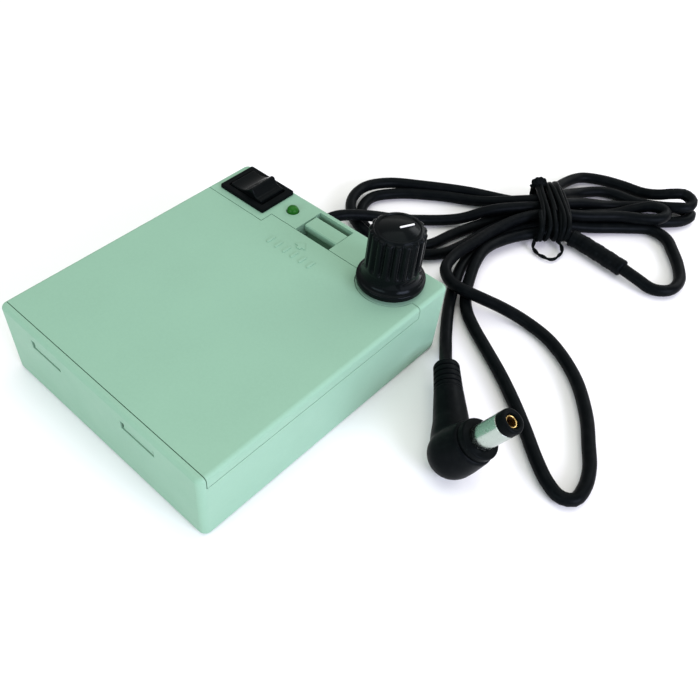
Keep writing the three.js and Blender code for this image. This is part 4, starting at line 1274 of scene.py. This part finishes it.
CONTACT_SHAPE = [
    (1.05, COLLAR_AT + 2.4), (1.05, PLUG_TIP - 0.75), (1.15, PLUG_TIP - 0.6), (1.3, PLUG_TIP - 0.6),
    (1.42, PLUG_TIP - 0.8), (1.42, COLLAR_AT + 1.4), (1.05, COLLAR_AT + 1.3),
]


def make_plug():
    """A right-angle barrel plug: a moulded head with a ribbed boot, the barrel, its tip and contact."""
    lean = Matrix.Rotation(pi / 2 - BARREL_RISE, 4, "Y")
    pose = posed(PLUG_HEAD, BARREL_TURN, "Z") @ lean
    start = Vector(hank_places([BOOT_START])[0])
    toward = PLUG_HEAD - start
    boot_pose = Matrix.Translation(start) @ toward.to_track_quat("Z", "Y").to_matrix().to_4x4()
    head, arm = head_profiles(toward.length)
    body = join(moved(turned(head, sides=56), pose), moved(turned(arm, sides=40), boot_pose))
    boot = moved(turned(boot_profile(), sides=40), boot_pose)
    make_piece("plug_head", body, "cord_vinyl", ["plug_body"], soften=HEAD_SKIN)
    make_piece("plug_boot", boot, "cord_vinyl", crease=50)
    make_piece("plug_collar", moved(turned(COLLAR_SHAPE), pose), "black_matte", crease=50)
    bored = (
        ("plug_sleeve", BARREL_SHAPE, "plug_metal", "plug_barrel"),
        ("plug_nose", NOSE_SHAPE, "black_matte", "plug_tip"),
        ("plug_socket", CONTACT_SHAPE, "brass", "plug_contact"),
    )
    for name, profile, slot, node in bored:
        make_piece(name, moved(turned(profile, loop=True), pose), slot, [node], crease=50)


# ---------- floor, light and finish ----------
FLOOR_HALF = 2.5
FLOOR_DROP = 0.0002
WORLD_STRENGTH = 0.6
LIGHTS = [
    # name, size, power, colour, place, and what it is aimed at
    ("key", (0.4, 0.3), 3.6, (0.98, 0.95, 1.2), (0.62, -0.02, 0.26), (0, 0.02, 0)),
    ("top", (0.7, 0.7), 2.4, (1.0, 1.0, 0.93), (-0.1, 0.1, 0.8), (0, 0.03, 0)),
    ("front", (0.5, 0.2), 1.5, (0.86, 1.0, 1.05), (0.0, -0.6, 0.26), (0, 0.0, 0)),
    ("rear", (0.5, 0.2), 1.2, (1.0, 1.0, 1.0), (0.1, 0.6, 0.35), (0, 0.05, 0)),
]


def make_stage():
    """A pale seamless floor, an even white surround and four soft lights."""
    mesh = bmesh.new()
    bmesh.ops.create_grid(mesh, x_segments=8, y_segments=8, size=FLOOR_HALF)
    data = bpy.data.meshes.new("floor")
    mesh.to_mesh(data)
    mesh.free()
    floor = bpy.data.objects.new("floor", data)
    show(floor)
    data.materials.append(MATERIALS["floor"])
    floor.location.z = -FLOOR_DROP

    world = bpy.data.worlds.new("studio")
    world.use_nodes = True
    surround = world.node_tree.nodes["Background"]
    surround.inputs["Color"].default_value = (1.0, 1.0, 1.0, 1)
    surround.inputs["Strength"].default_value = WORLD_STRENGTH
    bpy.context.scene.world = world

    for name, size, power, colour, place, aim in LIGHTS:
        data = bpy.data.lights.new(name, "AREA")
        data.shape = "RECTANGLE"
        data.size, data.size_y = size
        data.energy = power
        data.color = colour
        light = bpy.data.objects.new(name, data)
        light.location = place
        light.rotation_mode = "QUATERNION"
        light.rotation_quaternion = (Vector(aim) - Vector(place)).to_track_quat("-Z", "Y")
        show(light)


lead, lead_line = make_lead()
make_camera()
make_stage()
bpy.context.scene.view_settings.view_transform = "Standard"

SLOTS = {part["node"]: part["material_slot"] for part in frame["record"]["subparts"]}
for name, node in frame["nodes"].items():
    node.data.materials.clear()
    node.data.materials.append(MATERIALS[SLOTS[name]])

make_case()
make_cover()
make_grip_marks()
make_latch()
make_base()
make_cells()
make_switch()
make_lamp()
make_knob()
make_gland()
make_sleeve(lead_line)
make_tie(lead_line)
make_plug()

bpy.context.view_layer.update()
